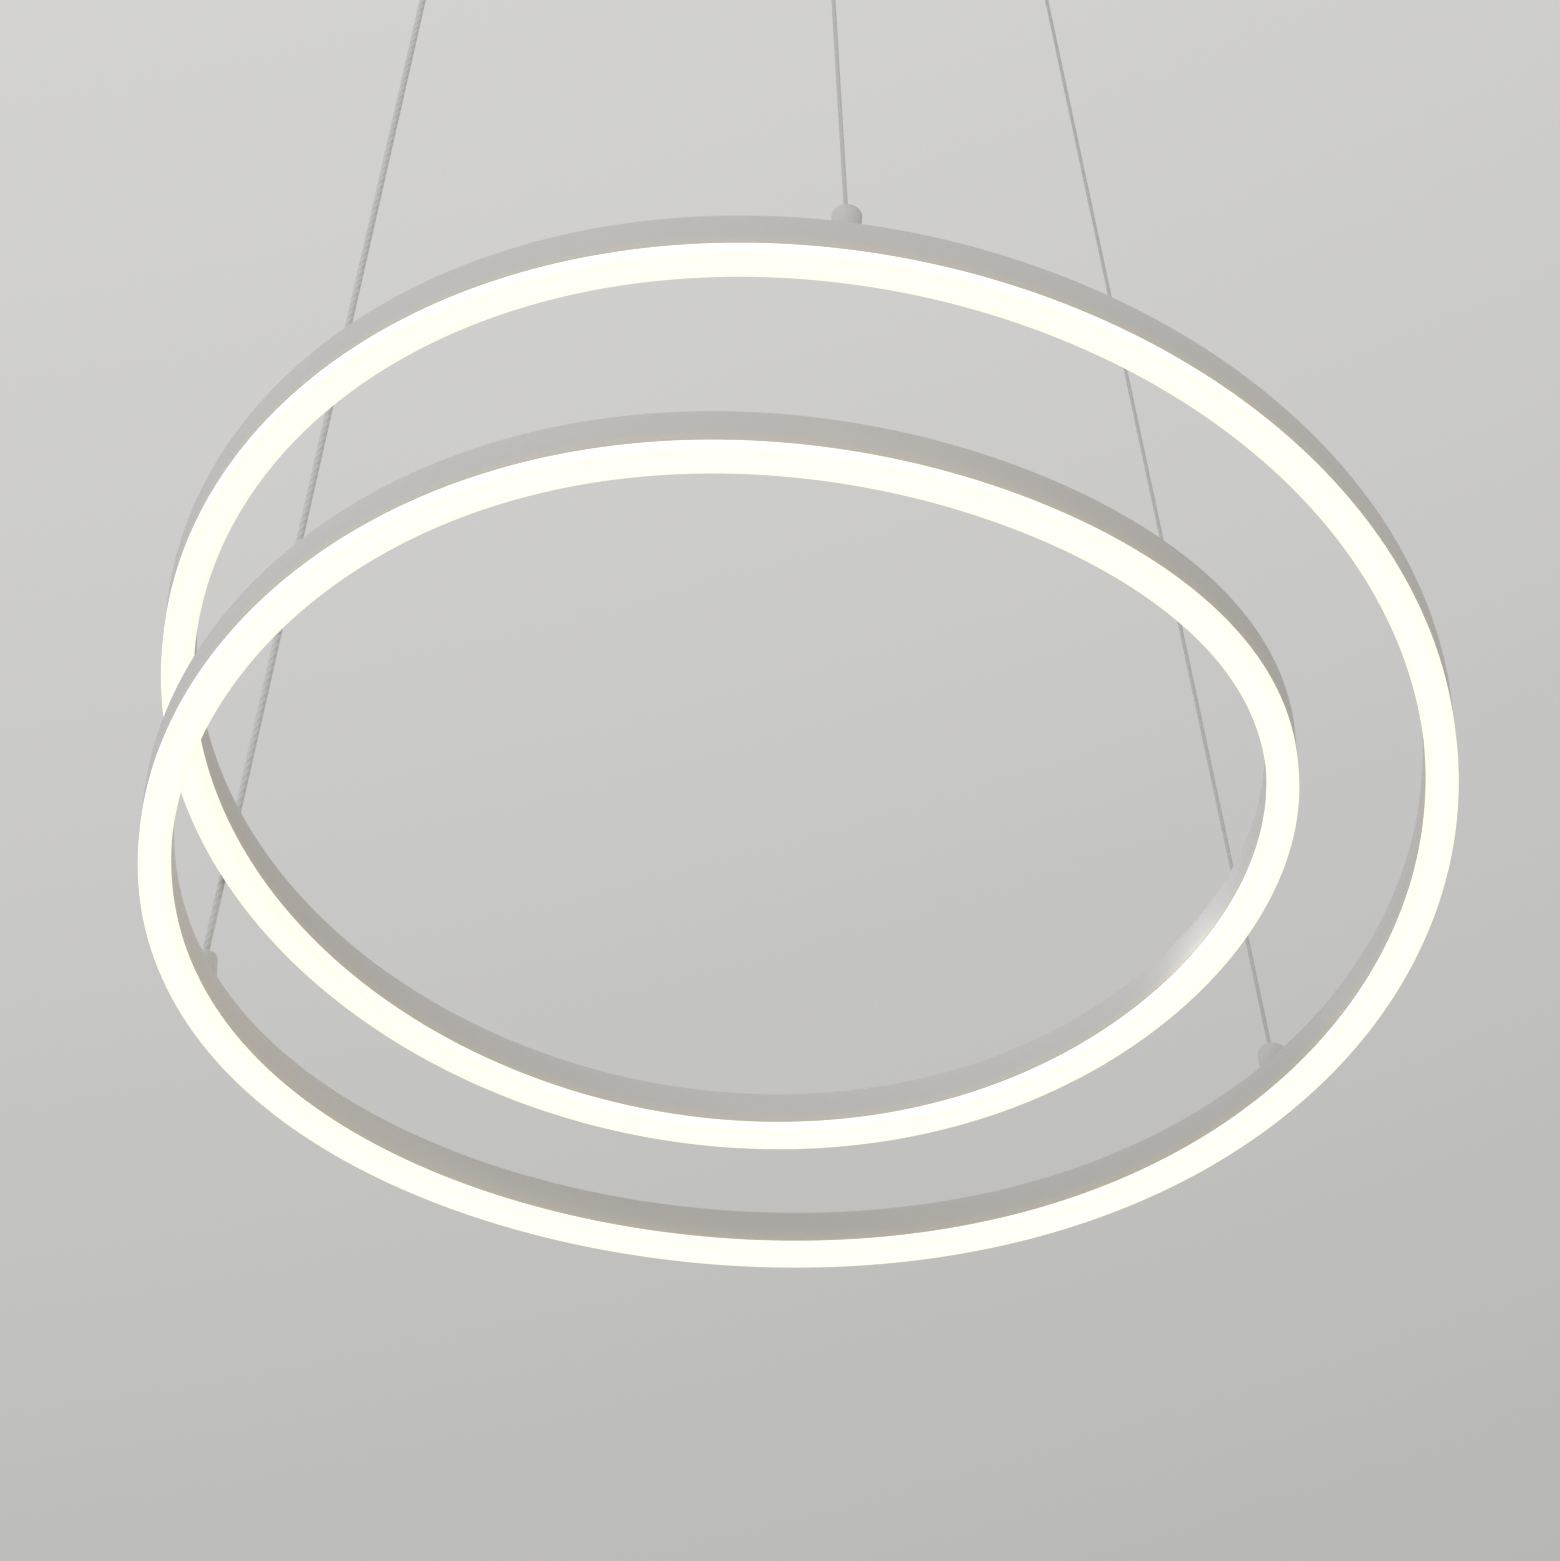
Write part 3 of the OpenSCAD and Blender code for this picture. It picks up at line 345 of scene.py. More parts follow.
@dataclass(frozen=True)
class PaintedGlowWallCoat(PowderCoat):
    """The same coat on the channel, with painted light: paler and warmer beside the lit diffuser,
    as the diffuser's spill light would make it.
    """

    # Painted light: the colour of the diffuser's warm spill, and how much of it and how far up the
    # wall it is painted.
    beside: Colour = (0.52, 0.478, 0.413)
    painted_glow_share: float = 0.8
    reach: float = 0.4

    def shade(self, recipe: Recipe) -> Value:
        """The coat's colour, with the diffuser's warm spill painted in, by the height over the
        diffuser in the piece's own map.

        Args:
            recipe: The recipe of the finish's material.

        Returns:
            The colour.
        """
        height, _ = recipe.along_piece()
        # Painted light: the warm spill is strongest at the wall's lower edge, by the diffuser, and
        # fades upwards.
        near = 1.0 - height.step(0.0, self.reach)
        return recipe.mix(near * self.painted_glow_share, super().shade(recipe), self.beside)


@dataclass(frozen=True)
class LitOpal(Finish):
    """Opal acrylic lit from inside: brightest over the strip, warmer towards its edges."""

    tint: Colour = (0.52, 0.515, 0.49)
    roughness: float = 0.38
    dull: float = 0.97
    relief_depth: float = 0.000005
    relief_strength: float = 0.4
    frost_scale: float = 900.0
    middle: Colour = (1.0, 0.985, 0.82)
    edge: Colour = (0.97, 0.94, 0.73)
    edge_from: float = 0.3
    strength: float = 0.70

    def dress(self, recipe: Recipe) -> None:
        """Fills the recipe with frosted opal and its light.

        Args:
            recipe: The recipe of the finish's material.
        """
        across, _ = recipe.along_piece()
        side = (across - 0.5).size() * 2.0
        frost = recipe.noise(self.frost_scale, 2.0)
        glow = recipe.mix(side.step(self.edge_from, 1.0), self.middle, self.edge)
        self.coat(recipe, self.uneven(recipe, frost), self.worn(frost), frost,
                  {"Emission Color": glow, "Emission Strength": self.strength})


@dataclass(frozen=True)
class TurnedMetal(Finish):
    """Turned or plated metal: satin, with fine scratches and a little tarnish."""

    tint: Colour = (0.62, 0.62, 0.61)
    roughness: float = 0.3
    dull: float = 0.86
    drift: float = 0.12
    metallic: float = 1.0
    tarnish_scale: float = 60.0
    scratch_scale: float = 900.0
    scratch_stretch: tuple[float, float, float] = (1.0, 1.0, 9.0)
    scratch_drift: float = 0.08

    def dress(self, recipe: Recipe) -> None:
        """Fills the recipe with tarnish and scratches.

        Args:
            recipe: The recipe of the finish's material.
        """
        tarnish = recipe.noise(self.tarnish_scale)
        scratch = recipe.noise(self.scratch_scale, 2.0, Vector(self.scratch_stretch))
        rough = self.worn(tarnish) + self.scratch_drift * scratch
        self.coat(recipe, self.uneven(recipe, tarnish), rough, scratch)


@dataclass(frozen=True)
class SteelRope(Finish):
    """Stranded steel wire: the strands are in the mesh, the single wires in the bump."""

    tint: Colour = (0.56, 0.555, 0.545)
    roughness: float = 0.36
    dull: float = 0.85
    metallic: float = 0.5
    relief_depth: float = 0.000012
    lay: float = 14.0 * MM
    wires: int = 42
    grime_scale: float = 300.0

    def dress(self, recipe: Recipe) -> None:
        """Fills the recipe with the wires' grooves, painted shade in them, and grime.

        Args:
            recipe: The recipe of the finish's material.
        """
        groove = recipe.twist(self.lay, self.wires)
        grime = recipe.noise(self.grime_scale)
        # Painted shade in the grooves between the wires, mixed half and half with real grime,
        # darkens the tint.
        shade = self.uneven(recipe, groove * 0.5 + grime * 0.5)
        self.coat(recipe, shade, self.worn(grime), groove)


@dataclass(frozen=True)
class Moulded(Finish):
    """Moulded plastic or rubber: one colour that drifts a little, over a fine spark grain."""

    tint: Colour = (0.8, 0.8, 0.78)
    roughness: float = 0.5
    dull: float = 0.94
    drift: float = 0.08
    relief_depth: float = 0.00003
    flow_scale: float = 30.0
    grain_scale: float = 1400.0

    def dress(self, recipe: Recipe) -> None:
        """Fills the recipe with the grain.

        Args:
            recipe: The recipe of the finish's material.
        """
        grain = recipe.noise(self.grain_scale, 2.0)
        shade = self.uneven(recipe, recipe.noise(self.flow_scale))
        self.coat(recipe, shade, self.worn(grain), grain)


@dataclass(frozen=True)
class Sheath(Finish):
    """Pale cord sheath: matt, faintly ribbed by the three twisted cores under it."""

    tint: Colour = (0.49, 0.485, 0.47)
    roughness: float = 0.42
    dull: float = 0.80
    drift: float = 0.08
    relief_depth: float = 0.0001
    relief_strength: float = 0.6
    lay: float = 16.0 * MM
    cores: int = 3
    # How much painted shade darkens the grooves between the ribs.
    rib_shade_share: float = 0.7
    stain_share: float = 0.3
    stain_scale: float = 25.0

    def dress(self, recipe: Recipe) -> None:
        """Fills the recipe with the cores' ribs, painted shade between them, and faint stains.

        Args:
            recipe: The recipe of the finish's material.
        """
        rib = recipe.twist(self.lay, self.cores)
        # Painted shade: the tint darkens between the ribs, mixed with real faint stains.
        stain_and_rib_shade = recipe.noise(self.stain_scale) * self.stain_share + rib * self.rib_shade_share
        self.coat(recipe, self.uneven(recipe, stain_and_rib_shade), self.worn(stain_and_rib_shade), rib)


@dataclass(frozen=True)
class ZincPlate(Finish):
    """Galvanised sheet with its spangle."""

    tint: Colour = (0.60, 0.61, 0.62)
    roughness: float = 0.34
    dull: float = 0.82
    drift: float = 0.16
    metallic: float = 0.9
    spangle_scale: float = 130.0
    grain_scale: float = 500.0

    def dress(self, recipe: Recipe) -> None:
        """Fills the recipe with the spangle.

        Args:
            recipe: The recipe of the finish's material.
        """
        cell = recipe.add("ShaderNodeTexVoronoi", output="Color",
                          inputs={"Vector": recipe.place(), "Scale": self.spangle_scale})
        tone = recipe.add("ShaderNodeRGBToBW", inputs={"Color": cell})
        self.coat(recipe, self.uneven(recipe, tone), self.worn(tone),
                  recipe.noise(self.grain_scale))


@dataclass(frozen=True)
class CircuitBoard(Finish):
    """Green board with paler tracks, and dark components, told apart by height."""

    tint: Colour = (0.03, 0.16, 0.08)
    roughness: float = 0.35
    drift: float = 0.15
    parts: Colour = (0.05, 0.05, 0.055)
    board_top_z: float = -37.6 * MM
    blend: float = 0.2 * MM
    track_tone: float = 1.5
    track_scale: float = 420.0
    track_range: tuple[float, float] = (0.49, 0.51)

    def dress(self, recipe: Recipe) -> None:
        """Fills the recipe with board, tracks and components.

        Args:
            recipe: The recipe of the finish's material.
        """
        height = recipe.add("ShaderNodeSeparateXYZ", inputs={0: recipe.place()}, output=2)
        above = height.step(self.board_top_z, self.board_top_z + self.blend)
        track = recipe.noise(self.track_scale, 1.0).step(*self.track_range)
        green = recipe.mix(track, self.tint, toned(self.tint, self.track_tone))
        shade = recipe.mix(above, green, self.parts)
        recipe.surface({"Base Color": shade, "Roughness": self.worn(above)})


PAINT = PaintedGlowWallCoat("channel_powder_coat", "channel_paint")
CAP_PAINT = PowderCoat("cap_powder_coat", "channel_paint", (0.472, 0.456, 0.44))
CANOPY_PAINT = PowderCoat("canopy_powder_coat", "canopy_paint")
OPAL = LitOpal("lit_opal_acrylic", "opal_diffuser")
STEEL = TurnedMetal("satin_nickel", "bright_steel")
DARK_STEEL = TurnedMetal("blackened_steel", "dark_steel", (0.12, 0.12, 0.125), 0.4)
ROPE = SteelRope("steel_rope", "wire_rope")
SHEATH = Sheath("pale_sheath", "cord_sheath")
WHITE = Moulded("white_moulding", "white_plastic", (0.72, 0.72, 0.70), 0.45)
BROWN = Moulded("brown_insulation", "lead_brown", (0.13, 0.05, 0.02), 0.4)
BLUE = Moulded("blue_insulation", "lead_blue", (0.02, 0.08, 0.34), 0.4)
GREEN = Moulded("green_insulation", "lead_green", (0.16, 0.36, 0.04), 0.4)
RED = Moulded("red_insulation", "lead_red", (0.42, 0.02, 0.015), 0.4)
FINISHES: tuple[Finish, ...] = (
    PAINT, CANOPY_PAINT, OPAL, STEEL, DARK_STEEL, ROPE, SHEATH, WHITE, BROWN, BLUE, GREEN, RED,
    ZincPlate("zinc_plate", "galvanised"),
    CircuitBoard("driver_board", "circuit_board"),
    Moulded("black_rubber", "black_rubber", (0.02, 0.02, 0.02), 0.6),
    Moulded("grey_moulding", "grey_plastic", (0.36, 0.37, 0.38), 0.45),
    Moulded("orange_lever", "orange_plastic", (0.72, 0.16, 0.02), 0.3),
    Moulded("strip_mask", "strip_white", (0.82, 0.82, 0.80), 0.4),
    Moulded("chip_phosphor", "chip_yellow", (0.85, 0.62, 0.15), 0.5),
    TurnedMetal("plain_brass", "brass", (0.72, 0.54, 0.26), 0.28),
    TurnedMetal("tinned_copper", "copper", (0.74, 0.44, 0.28), 0.3),
)


# Mesh work


def only(piece: Piece) -> None:
    """Deselects everything, then selects one piece and makes it active.

    Args:
        piece: The piece.
    """
    bpy.ops.object.select_all(action="DESELECT")
    piece.select_set(True)
    bpy.context.view_layer.objects.active = piece


def finish_piece(piece: Piece, finish: Finish, node: str, body: str = HUNG_LIGHT,
                 smooth_deg: float = 35.0) -> None:
    """Smooths a piece by angle, dresses it, parents it to its body's empty and hides the CAD node
    that it stands for.

    Args:
        piece: The piece, in place in its mesh.
        finish: Its finish.
        node: The CAD node that it stands for.
        body: The body that it rides on.
        smooth_deg: The angle past which an edge stays sharp.
    """
    only(piece)
    bpy.ops.object.shade_smooth_by_angle(angle=math.radians(smooth_deg))
    piece.data.materials.clear()
    piece.data.materials.append(finish.material())
    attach(piece, body)
    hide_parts(node)
    LOG.info("%s: %d faces on %s", piece.name, len(piece.data.polygons), body)


def add_modifier(piece: Piece, kind: str, **settings: object) -> None:
    """Adds a modifier, sets it and applies it.

    Args:
        piece: The piece that gets it.
        kind: Its type.
        settings: Its properties.
    """
    only(piece)
    modifier = piece.modifiers.new(kind.lower(), kind)
    for name, value in settings.items():
        setattr(modifier, name, value)
    bpy.ops.object.modifier_apply(modifier=modifier.name)


def bevel_edges(piece: Piece, width: float, sharp_deg: float) -> None:
    """Bevels the edges that are sharper than an angle."""
    add_modifier(piece, "BEVEL", width=width, segments=2, limit_method="ANGLE",
                 angle_limit=math.radians(sharp_deg))


def fuse(piece: Piece, other: Piece, way: Fusion) -> None:
    """Cuts another solid out of a piece or unites the two, and removes the other."""
    add_modifier(piece, "BOOLEAN", operation=way.value, solver="EXACT", object=other)
    bpy.data.objects.remove(other)


def join_pair(first: Piece, second: Piece, name: str) -> Piece:
    """Makes one piece of two meshes that don't touch.

    Args:
        first: The mesh that the other one joins.
        second: The other one.
        name: The piece's name.

    Returns:
        The piece.
    """
    only(first)
    second.select_set(True)
    bpy.ops.object.join()
    first.name = name
    return first


def put(piece: Piece, matrix: Matrix) -> Piece:
    """Places a piece inside its mesh and leaves its object at the origin."""
    piece.data.transform(matrix)
    return piece


def turned(name: str, outline: Outline, segments: int = 64) -> Piece:
    """Turns a closed outline about Z, as on a lathe.

    Args:
        name: The piece's name.
        outline: Its half section as (radius, height), in metres, closed.
        segments: Steps of the turn.

    Returns:
        The turned piece, at the origin.
    """
    bpy.ops.object.select_all(action="DESELECT")
    bpy.ops.mesh.primitive_circle_add(vertices=len(outline), fill_type="NOTHING")
    piece = bpy.context.object
    piece.name = name
    piece.data.name = name
    for vertex, (radius, height) in zip(piece.data.vertices, outline):
        vertex.co = (radius, 0.0, height)
    bpy.ops.object.mode_set(mode="EDIT")
    bpy.ops.mesh.select_all(action="SELECT")
    bpy.ops.mesh.spin(
        steps=segments, angle=math.tau, center=(0.0, 0.0, 0.0), axis=(0.0, 0.0, 1.0)
    )
    bpy.ops.mesh.select_all(action="SELECT")
    bpy.ops.mesh.remove_doubles(threshold=1e-6)
    bpy.ops.mesh.delete_loose(use_faces=False)
    bpy.ops.mesh.select_all(action="SELECT")
    bpy.ops.mesh.normals_make_consistent(inside=False)
    bpy.ops.object.mode_set(mode="OBJECT")
    return piece


def arc(centre: tuple[float, float], radius: float, start_deg: float, end_deg: float,
        steps: int) -> Outline:
    """Points along an arc, ends included."""
    angles = [math.radians(start_deg + (end_deg - start_deg) * i / steps)
              for i in range(steps + 1)]
    return [(centre[0] + radius * math.cos(a), centre[1] + radius * math.sin(a)) for a in angles]


def pin_outline(radius: float, low: float, high: float, chamfer: float) -> Outline:
    """The half section of a solid pin with both ends chamfered."""
    return [(0.0, low), (radius - chamfer, low), (radius, low + chamfer), (radius, high - chamfer),
            (radius - chamfer, high), (0.0, high)]


@dataclass(frozen=True)
class Thread:
    """A fine outside thread, turned as closed ridges."""

    radius: float
    pitch: float
    depth: float
    land: float

    def ridges(self, low: float, high: float) -> Outline:
        """The ridges as part of a turned outline.

        Args:
            low: The height that they start at.
            high: The height that they stay under.

        Returns:
            Their points, upwards.
        """
        points = []
        for k in range(int((high - low) / self.pitch)):
            z = low + k * self.pitch
            points += [(self.radius, z + self.land),
                       (self.radius - self.depth, z + self.pitch / 2),
                       (self.radius, z + self.pitch - self.land)]
        return points


def skinned(name: str, rings: Sequence[Line], loops: Sequence[Sequence[int]],
            lengths: Sequence[float], across: Sequence[float] | None = None) -> Piece:
    """Skins rings of points into one closed piece, with a UV map over and along it.

    Args:
        name: The piece's name.
        rings: The points of each ring.
        loops: The closed loops of each ring, as places in it: the outer edge, then any holes.
        lengths: How far along the piece each ring lies, in metres.
        across: The map's first coordinate at each point of a ring, or None for the share of the
            way round its loop.

    Returns:
        The piece.
    """
    mesh = bpy.data.meshes.new(name)
    work = bmesh.new()
    uv_layer = work.loops.layers.uv.new("UVMap")
    points = [[work.verts.new(p) for p in ring] for ring in rings]
    for loop in loops:
        count = len(loop)
        for i in range(len(rings) - 1):
            low, high = points[i], points[i + 1]
            for j in range(count):
                a, b = loop[j], loop[(j + 1) % count]
                face = work.faces.new((low[a], low[b], high[b], high[a]))
                start, end = (across[a], across[b]) if across else (j / count, (j + 1) / count)
                corners = ((start, i), (end, i), (end, i + 1), (start, i + 1))
                for corner, (u, ring) in zip(face.loops, corners):
                    corner[uv_layer].uv = (u, lengths[ring])
    for ring in (points[0], points[-1]):
        edges = [work.edges.get((ring[loop[j]], ring[loop[(j + 1) % len(loop)]]))
                 for loop in loops for j in range(len(loop))]
        bmesh.ops.triangle_fill(work, use_beauty=True, edges=edges)
    bmesh.ops.recalc_face_normals(work, faces=work.faces)
    work.to_mesh(mesh)
    work.free()
    piece = bpy.data.objects.new(name, mesh)
    bpy.context.scene.collection.objects.link(piece)
    return piece


def lengths_of(points: Line) -> list[float]:
    """Measures a line of points.

    Args:
        points: The line.

    Returns:
        How far along it each point lies.
    """
    lengths = [0.0]
    for a, b in zip(points, points[1:]):
        lengths.append(lengths[-1] + (b - a).length)
    return lengths


def way_at(line: Line, i: int) -> Vector:
    """The way a line of points runs at one of them, as a vector of some length."""
    return line[min(i + 1, len(line) - 1)] - line[max(i - 1, 0)]


def unit_ring(sides: int, lobes: int, depth: float, phase: float) -> Outline:
    """A round section of radius 1, with the lobes of a rope's strands if it has any.

    Args:
        sides: Its points.
        lobes: Its strands, or 0.
        depth: How far the grooves between them go in.
        phase: The direction of the first strand, in radians.

    Returns:
        The section.
    """
    angles = [math.tau * i / sides for i in range(sides)]
    radii = [1.0 - depth * (0.5 - 0.5 * math.cos(lobes * (a - phase))) for a in angles]
    return [(r * math.cos(a), r * math.sin(a)) for r, a in zip(radii, angles)]


def tube(name: str, line: Line, radius: float, sides: int, lobes: int = 0,
         lay: float = 1.0, lobe_depth: float = 0.16) -> Piece:
    """A closed tube along a line.

    Args:
        name: Its name.
        line: The points of its middle line.
        radius: Its radius.
        sides: Points round it.
        lobes: The number of strands that show in its section, or 0 for a plain one.
        lay: The length in which the strands go once round.
        lobe_depth: How far the grooves between strands go in, as a share of the radius.

    Returns:
        The tube.
    """
    lengths = lengths_of(line)
    rings = []
    runs_along_x = abs(way_at(line, 0).normalized().x) > 0.8
    side = Vector((0.0, 1.0, 0.0)) if runs_along_x else Vector((1.0, 0.0, 0.0))
    for i, point in enumerate(line):
        along = way_at(line, i).normalized()
        side = (side - along * side.dot(along)).normalized()
        other = along.cross(side)
        ring = unit_ring(sides, lobes, lobe_depth if lobes else 0.0, math.tau * lengths[i] / lay)
        rings.append([point + radius * (x * side + y * other) for x, y in ring])
    return skinned(name, rings, [list(range(sides))], lengths)


def smooth_line(points: Line, step: float) -> list[Vector]:
    """Draws a smooth curve through some points.

    Args:
        points: The points.
        step: The length between the points of the result, at most.

    Returns:
        The curve.
    """
    line = [points[0]]
    for i in range(len(points) - 1):
        a, b = points[max(i - 1, 0)], points[i]
        c, d = points[i + 1], points[min(i + 2, len(points) - 1)]
        count = max(1, math.ceil((c - b).length / step))
        for k in range(1, count + 1):
            t = k / count
            line.append(0.5 * (2 * b + (c - a) * t + (2 * a - 5 * b + 4 * c - d) * t ** 2
                               + (3 * b - a - 3 * c + d) * t ** 3))
    return line


# Camera, light and backdrop


@dataclass(frozen=True)
class Viewpoint:
    """The camera: below the light and in front of it, looking up, with a long lens."""

    place: Vector = field(default_factory=lambda: Vector((7.55 * MM, -1855.7 * MM, -3139.6 * MM)))
    rise_deg: float = 44.32
    focal_px: float = 5500.0
    picture_px: float = 1560.0
    sensor_mm: float = 36.0
    reach: float = 100.0

    def build(self) -> None:
        """Makes the camera and gives it to the scene."""
        data = bpy.data.cameras.new("camera")
        data.sensor_fit = "HORIZONTAL"
        data.sensor_width = self.sensor_mm
        data.lens = self.focal_px * self.sensor_mm / self.picture_px
        data.clip_end = self.reach
        camera = bpy.data.objects.new("camera", data)
        camera.location = self.place
        camera.rotation_euler = (math.radians(90.0 + self.rise_deg), 0.0, 0.0)
        bpy.context.scene.collection.objects.link(camera)
        bpy.context.scene.camera = camera


@dataclass(frozen=True)
class Studio:
    """A pale floor, a pale surround with soft light, and one soft lamp."""

    low_tone: Colour = (0.46, 0.458, 0.454)
    high_tone: Colour = (0.665, 0.66, 0.652)
    low_sine: float = 0.49
    high_sine: float = 0.87
    tone_lean: float = 0.2
    ambient: float = 1.14
    lit_side: Colour = (1.485, 1.578, 1.70)
    shade_side: Colour = (0.515, 0.414, 0.238)
    side_lean: float = 0.35
    floor_z: float = -3.4
    floor_size: float = 400.0
    floor_tones: tuple[Colour, Colour] = ((0.655, 0.65, 0.645), (0.67, 0.665, 0.66))
    lit_place: Vector = field(default_factory=lambda: Vector((0.181, 0.063, -1.336)))
    lamp_side: Vector = field(default_factory=lambda: Vector((-0.66, 0.355, 0.664)))
    lamp_distance: float = 3.0
    lamp_radius: float = 0.03
    lamp_cone_deg: float = 5.0
    lamp_power: float = 25.0

    def build(self) -> None:
        """Makes the surround, the floor and the lamp."""
        self._surround()
        self._floor()
        self._lamp()
        bpy.context.scene.view_settings.view_transform = "Standard"

    def _surround(self) -> None:
        """The surround: pale where it is seen, and soft light, a little more from front left."""
        world = bpy.data.worlds.new("surround")
        bpy.context.scene.world = world
        world.use_nodes = True
        recipe = Recipe(world.node_tree)
        camera_ray = recipe.add("ShaderNodeLightPath", output="Is Camera Ray")
        seen = camera_ray.most(camera_ray.beside("Is Glossy Ray")).most(
            camera_ray.beside("Is Transmission Ray"))
        way = recipe.add("ShaderNodeTexCoord", output="Generated")
        right = recipe.add("ShaderNodeSeparateXYZ", inputs={0: way})
        back, height = right.beside(1), right.beside(2)
        facing = 0.5 - self.side_lean * (right + back)
        light = recipe.add("ShaderNodeBackground", inputs={
            "Color": recipe.mix(facing, self.shade_side, self.lit_side),
            "Strength": self.ambient})
        rise = (height - self.tone_lean * right).step(self.low_sine, self.high_sine)
        tone = recipe.mix(rise, self.low_tone, self.high_tone)
        shown = recipe.add("ShaderNodeBackground", inputs={"Color": tone, "Strength": 1.0})
        both = recipe.add("ShaderNodeMixShader", inputs={0: seen, 1: light, 2: shown})
        recipe.add("ShaderNodeOutputWorld", inputs={"Surface": both})

    def _floor(self) -> None:
        """The floor, which is clear from below."""
        bpy.ops.mesh.primitive_plane_add(size=self.floor_size, location=(0.0, 0.0, self.floor_z))
        floor = bpy.context.object
        floor.name = "floor"
        material = bpy.data.materials.new("floor_plaster")
        material.use_nodes = True
        recipe = Recipe(material.node_tree)
        matt = recipe.add("ShaderNodeBsdfDiffuse", inputs={
            "Color": recipe.mix(recipe.noise(3.0), *self.floor_tones)})
        clear = recipe.add("ShaderNodeBsdfTransparent")
        behind = recipe.add("ShaderNodeNewGeometry", output="Backfacing")
        both = recipe.add("ShaderNodeMixShader", inputs={0: behind, 1: matt, 2: clear})
        recipe.add("ShaderNodeOutputMaterial", inputs={"Surface": both})
        floor.data.materials.append(material)

    def _lamp(self) -> None:
        """The soft lamp that draws the sheen on the inner wall, unseen by the camera."""
        data = bpy.data.lights.new("soft_spot", "SPOT")
        data.energy = self.lamp_power
        data.shadow_soft_size = self.lamp_radius
        data.spot_size = math.radians(self.lamp_cone_deg)
        data.spot_blend = 1.0
        lamp = bpy.data.objects.new("soft_spot", data)
        lamp.location = self.lit_place + self.lamp_distance * self.lamp_side.normalized()
        lamp.rotation_euler = self.lamp_side.to_track_quat("Z", "Y").to_euler()
        lamp.visible_camera = False
        bpy.context.scene.collection.objects.link(lamp)


# The light


@dataclass(frozen=True)
class LoopPath:
    """The middle line of the diffuser's lowest face, over two full turns, in metres."""

    loop_r: float = 280 * MM
    spread: float = 37.5 * MM
    spread_turn: float = 6.0
    oval: float = 3.0 * MM
    oval_turn: float = 100.0
    trefoil: float = 1.2 * MM
    rise: float = 40.5 * MM
    rise_turn: float = 79.0
    dip: float = 7.2 * MM
    wave: float = 3.2 * MM
    wave_turn: float = 60.0
    wave_three: float = 2.5 * MM
    drop: float = 1350 * MM

    def point(self, turn: float) -> Vector:
        """A point of the line.

        Args:
            turn: How far round it lies, in degrees from 0 to 720.

        Returns:
            The point.
        """

        def cos(degrees: float) -> float:
            """The cosine of an angle in degrees."""
            return math.cos(math.radians(degrees))

        radius = (self.loop_r + self.spread * cos(turn / 2 - self.spread_turn)
                  + self.oval * cos(2 * turn - self.oval_turn) + self.trefoil * cos(3 * turn))
        height = (self.rise * cos(turn / 2 + self.rise_turn) - self.dip * cos(1.5 * turn)
                  - self.wave * cos(2.5 * turn - self.wave_turn) + self.wave_three * cos(3 * turn)
                  - self.drop)
        return Vector((radius * cos(turn), radius * math.sin(math.radians(turn)), height))

    def axes(self, turn: float) -> tuple[Vector, Vector, Vector]:
        """The line's own directions.

        Args:
            turn: How far round, in degrees.

        Returns:
            Along the line, outward and up.
        """
        along = (self.point(turn + 0.5) - self.point(turn - 0.5)).normalized()
        outward = Vector((along.y, -along.x, 0.0)).normalized()
        return along, outward, outward.cross(along)

    def on_channel(self, turn: float, level: float) -> Vector:
        """The point above the path at a level of the channel."""
        return self.point(turn) + level * self.axes(turn)[2]

    def seat(self, turn: float, level: float) -> Matrix:
        """The placing of a piece that stands on the channel: X along it, Z away from it.

        Args:
            turn: How far round, in degrees.
            level: The height over the line.

        Returns:
            The placing.
        """
        along, outward, up = self.axes(turn)
        turn_matrix = Matrix((along, -outward, up)).transposed().to_4x4()
        return Matrix.Translation(self.on_channel(turn, level)) @ turn_matrix


@dataclass(frozen=True)
class Outlet:
    """Where a wire or the cord goes through the canopy."""

    direction_deg: float
    mouth_z: float
    hole: float
    radius: float = 138 * MM

    def at(self, height: float) -> Vector:
        """A point on the outlet's axis."""
        angle = math.radians(self.direction_deg)
        return Vector((self.radius * math.cos(angle), self.radius * math.sin(angle), height))

    def centre(self, piece: Piece) -> Piece:
        """Moves a piece that was turned about the origin onto the outlet's axis."""
        return put(piece, Matrix.Translation(self.at(0.0)))


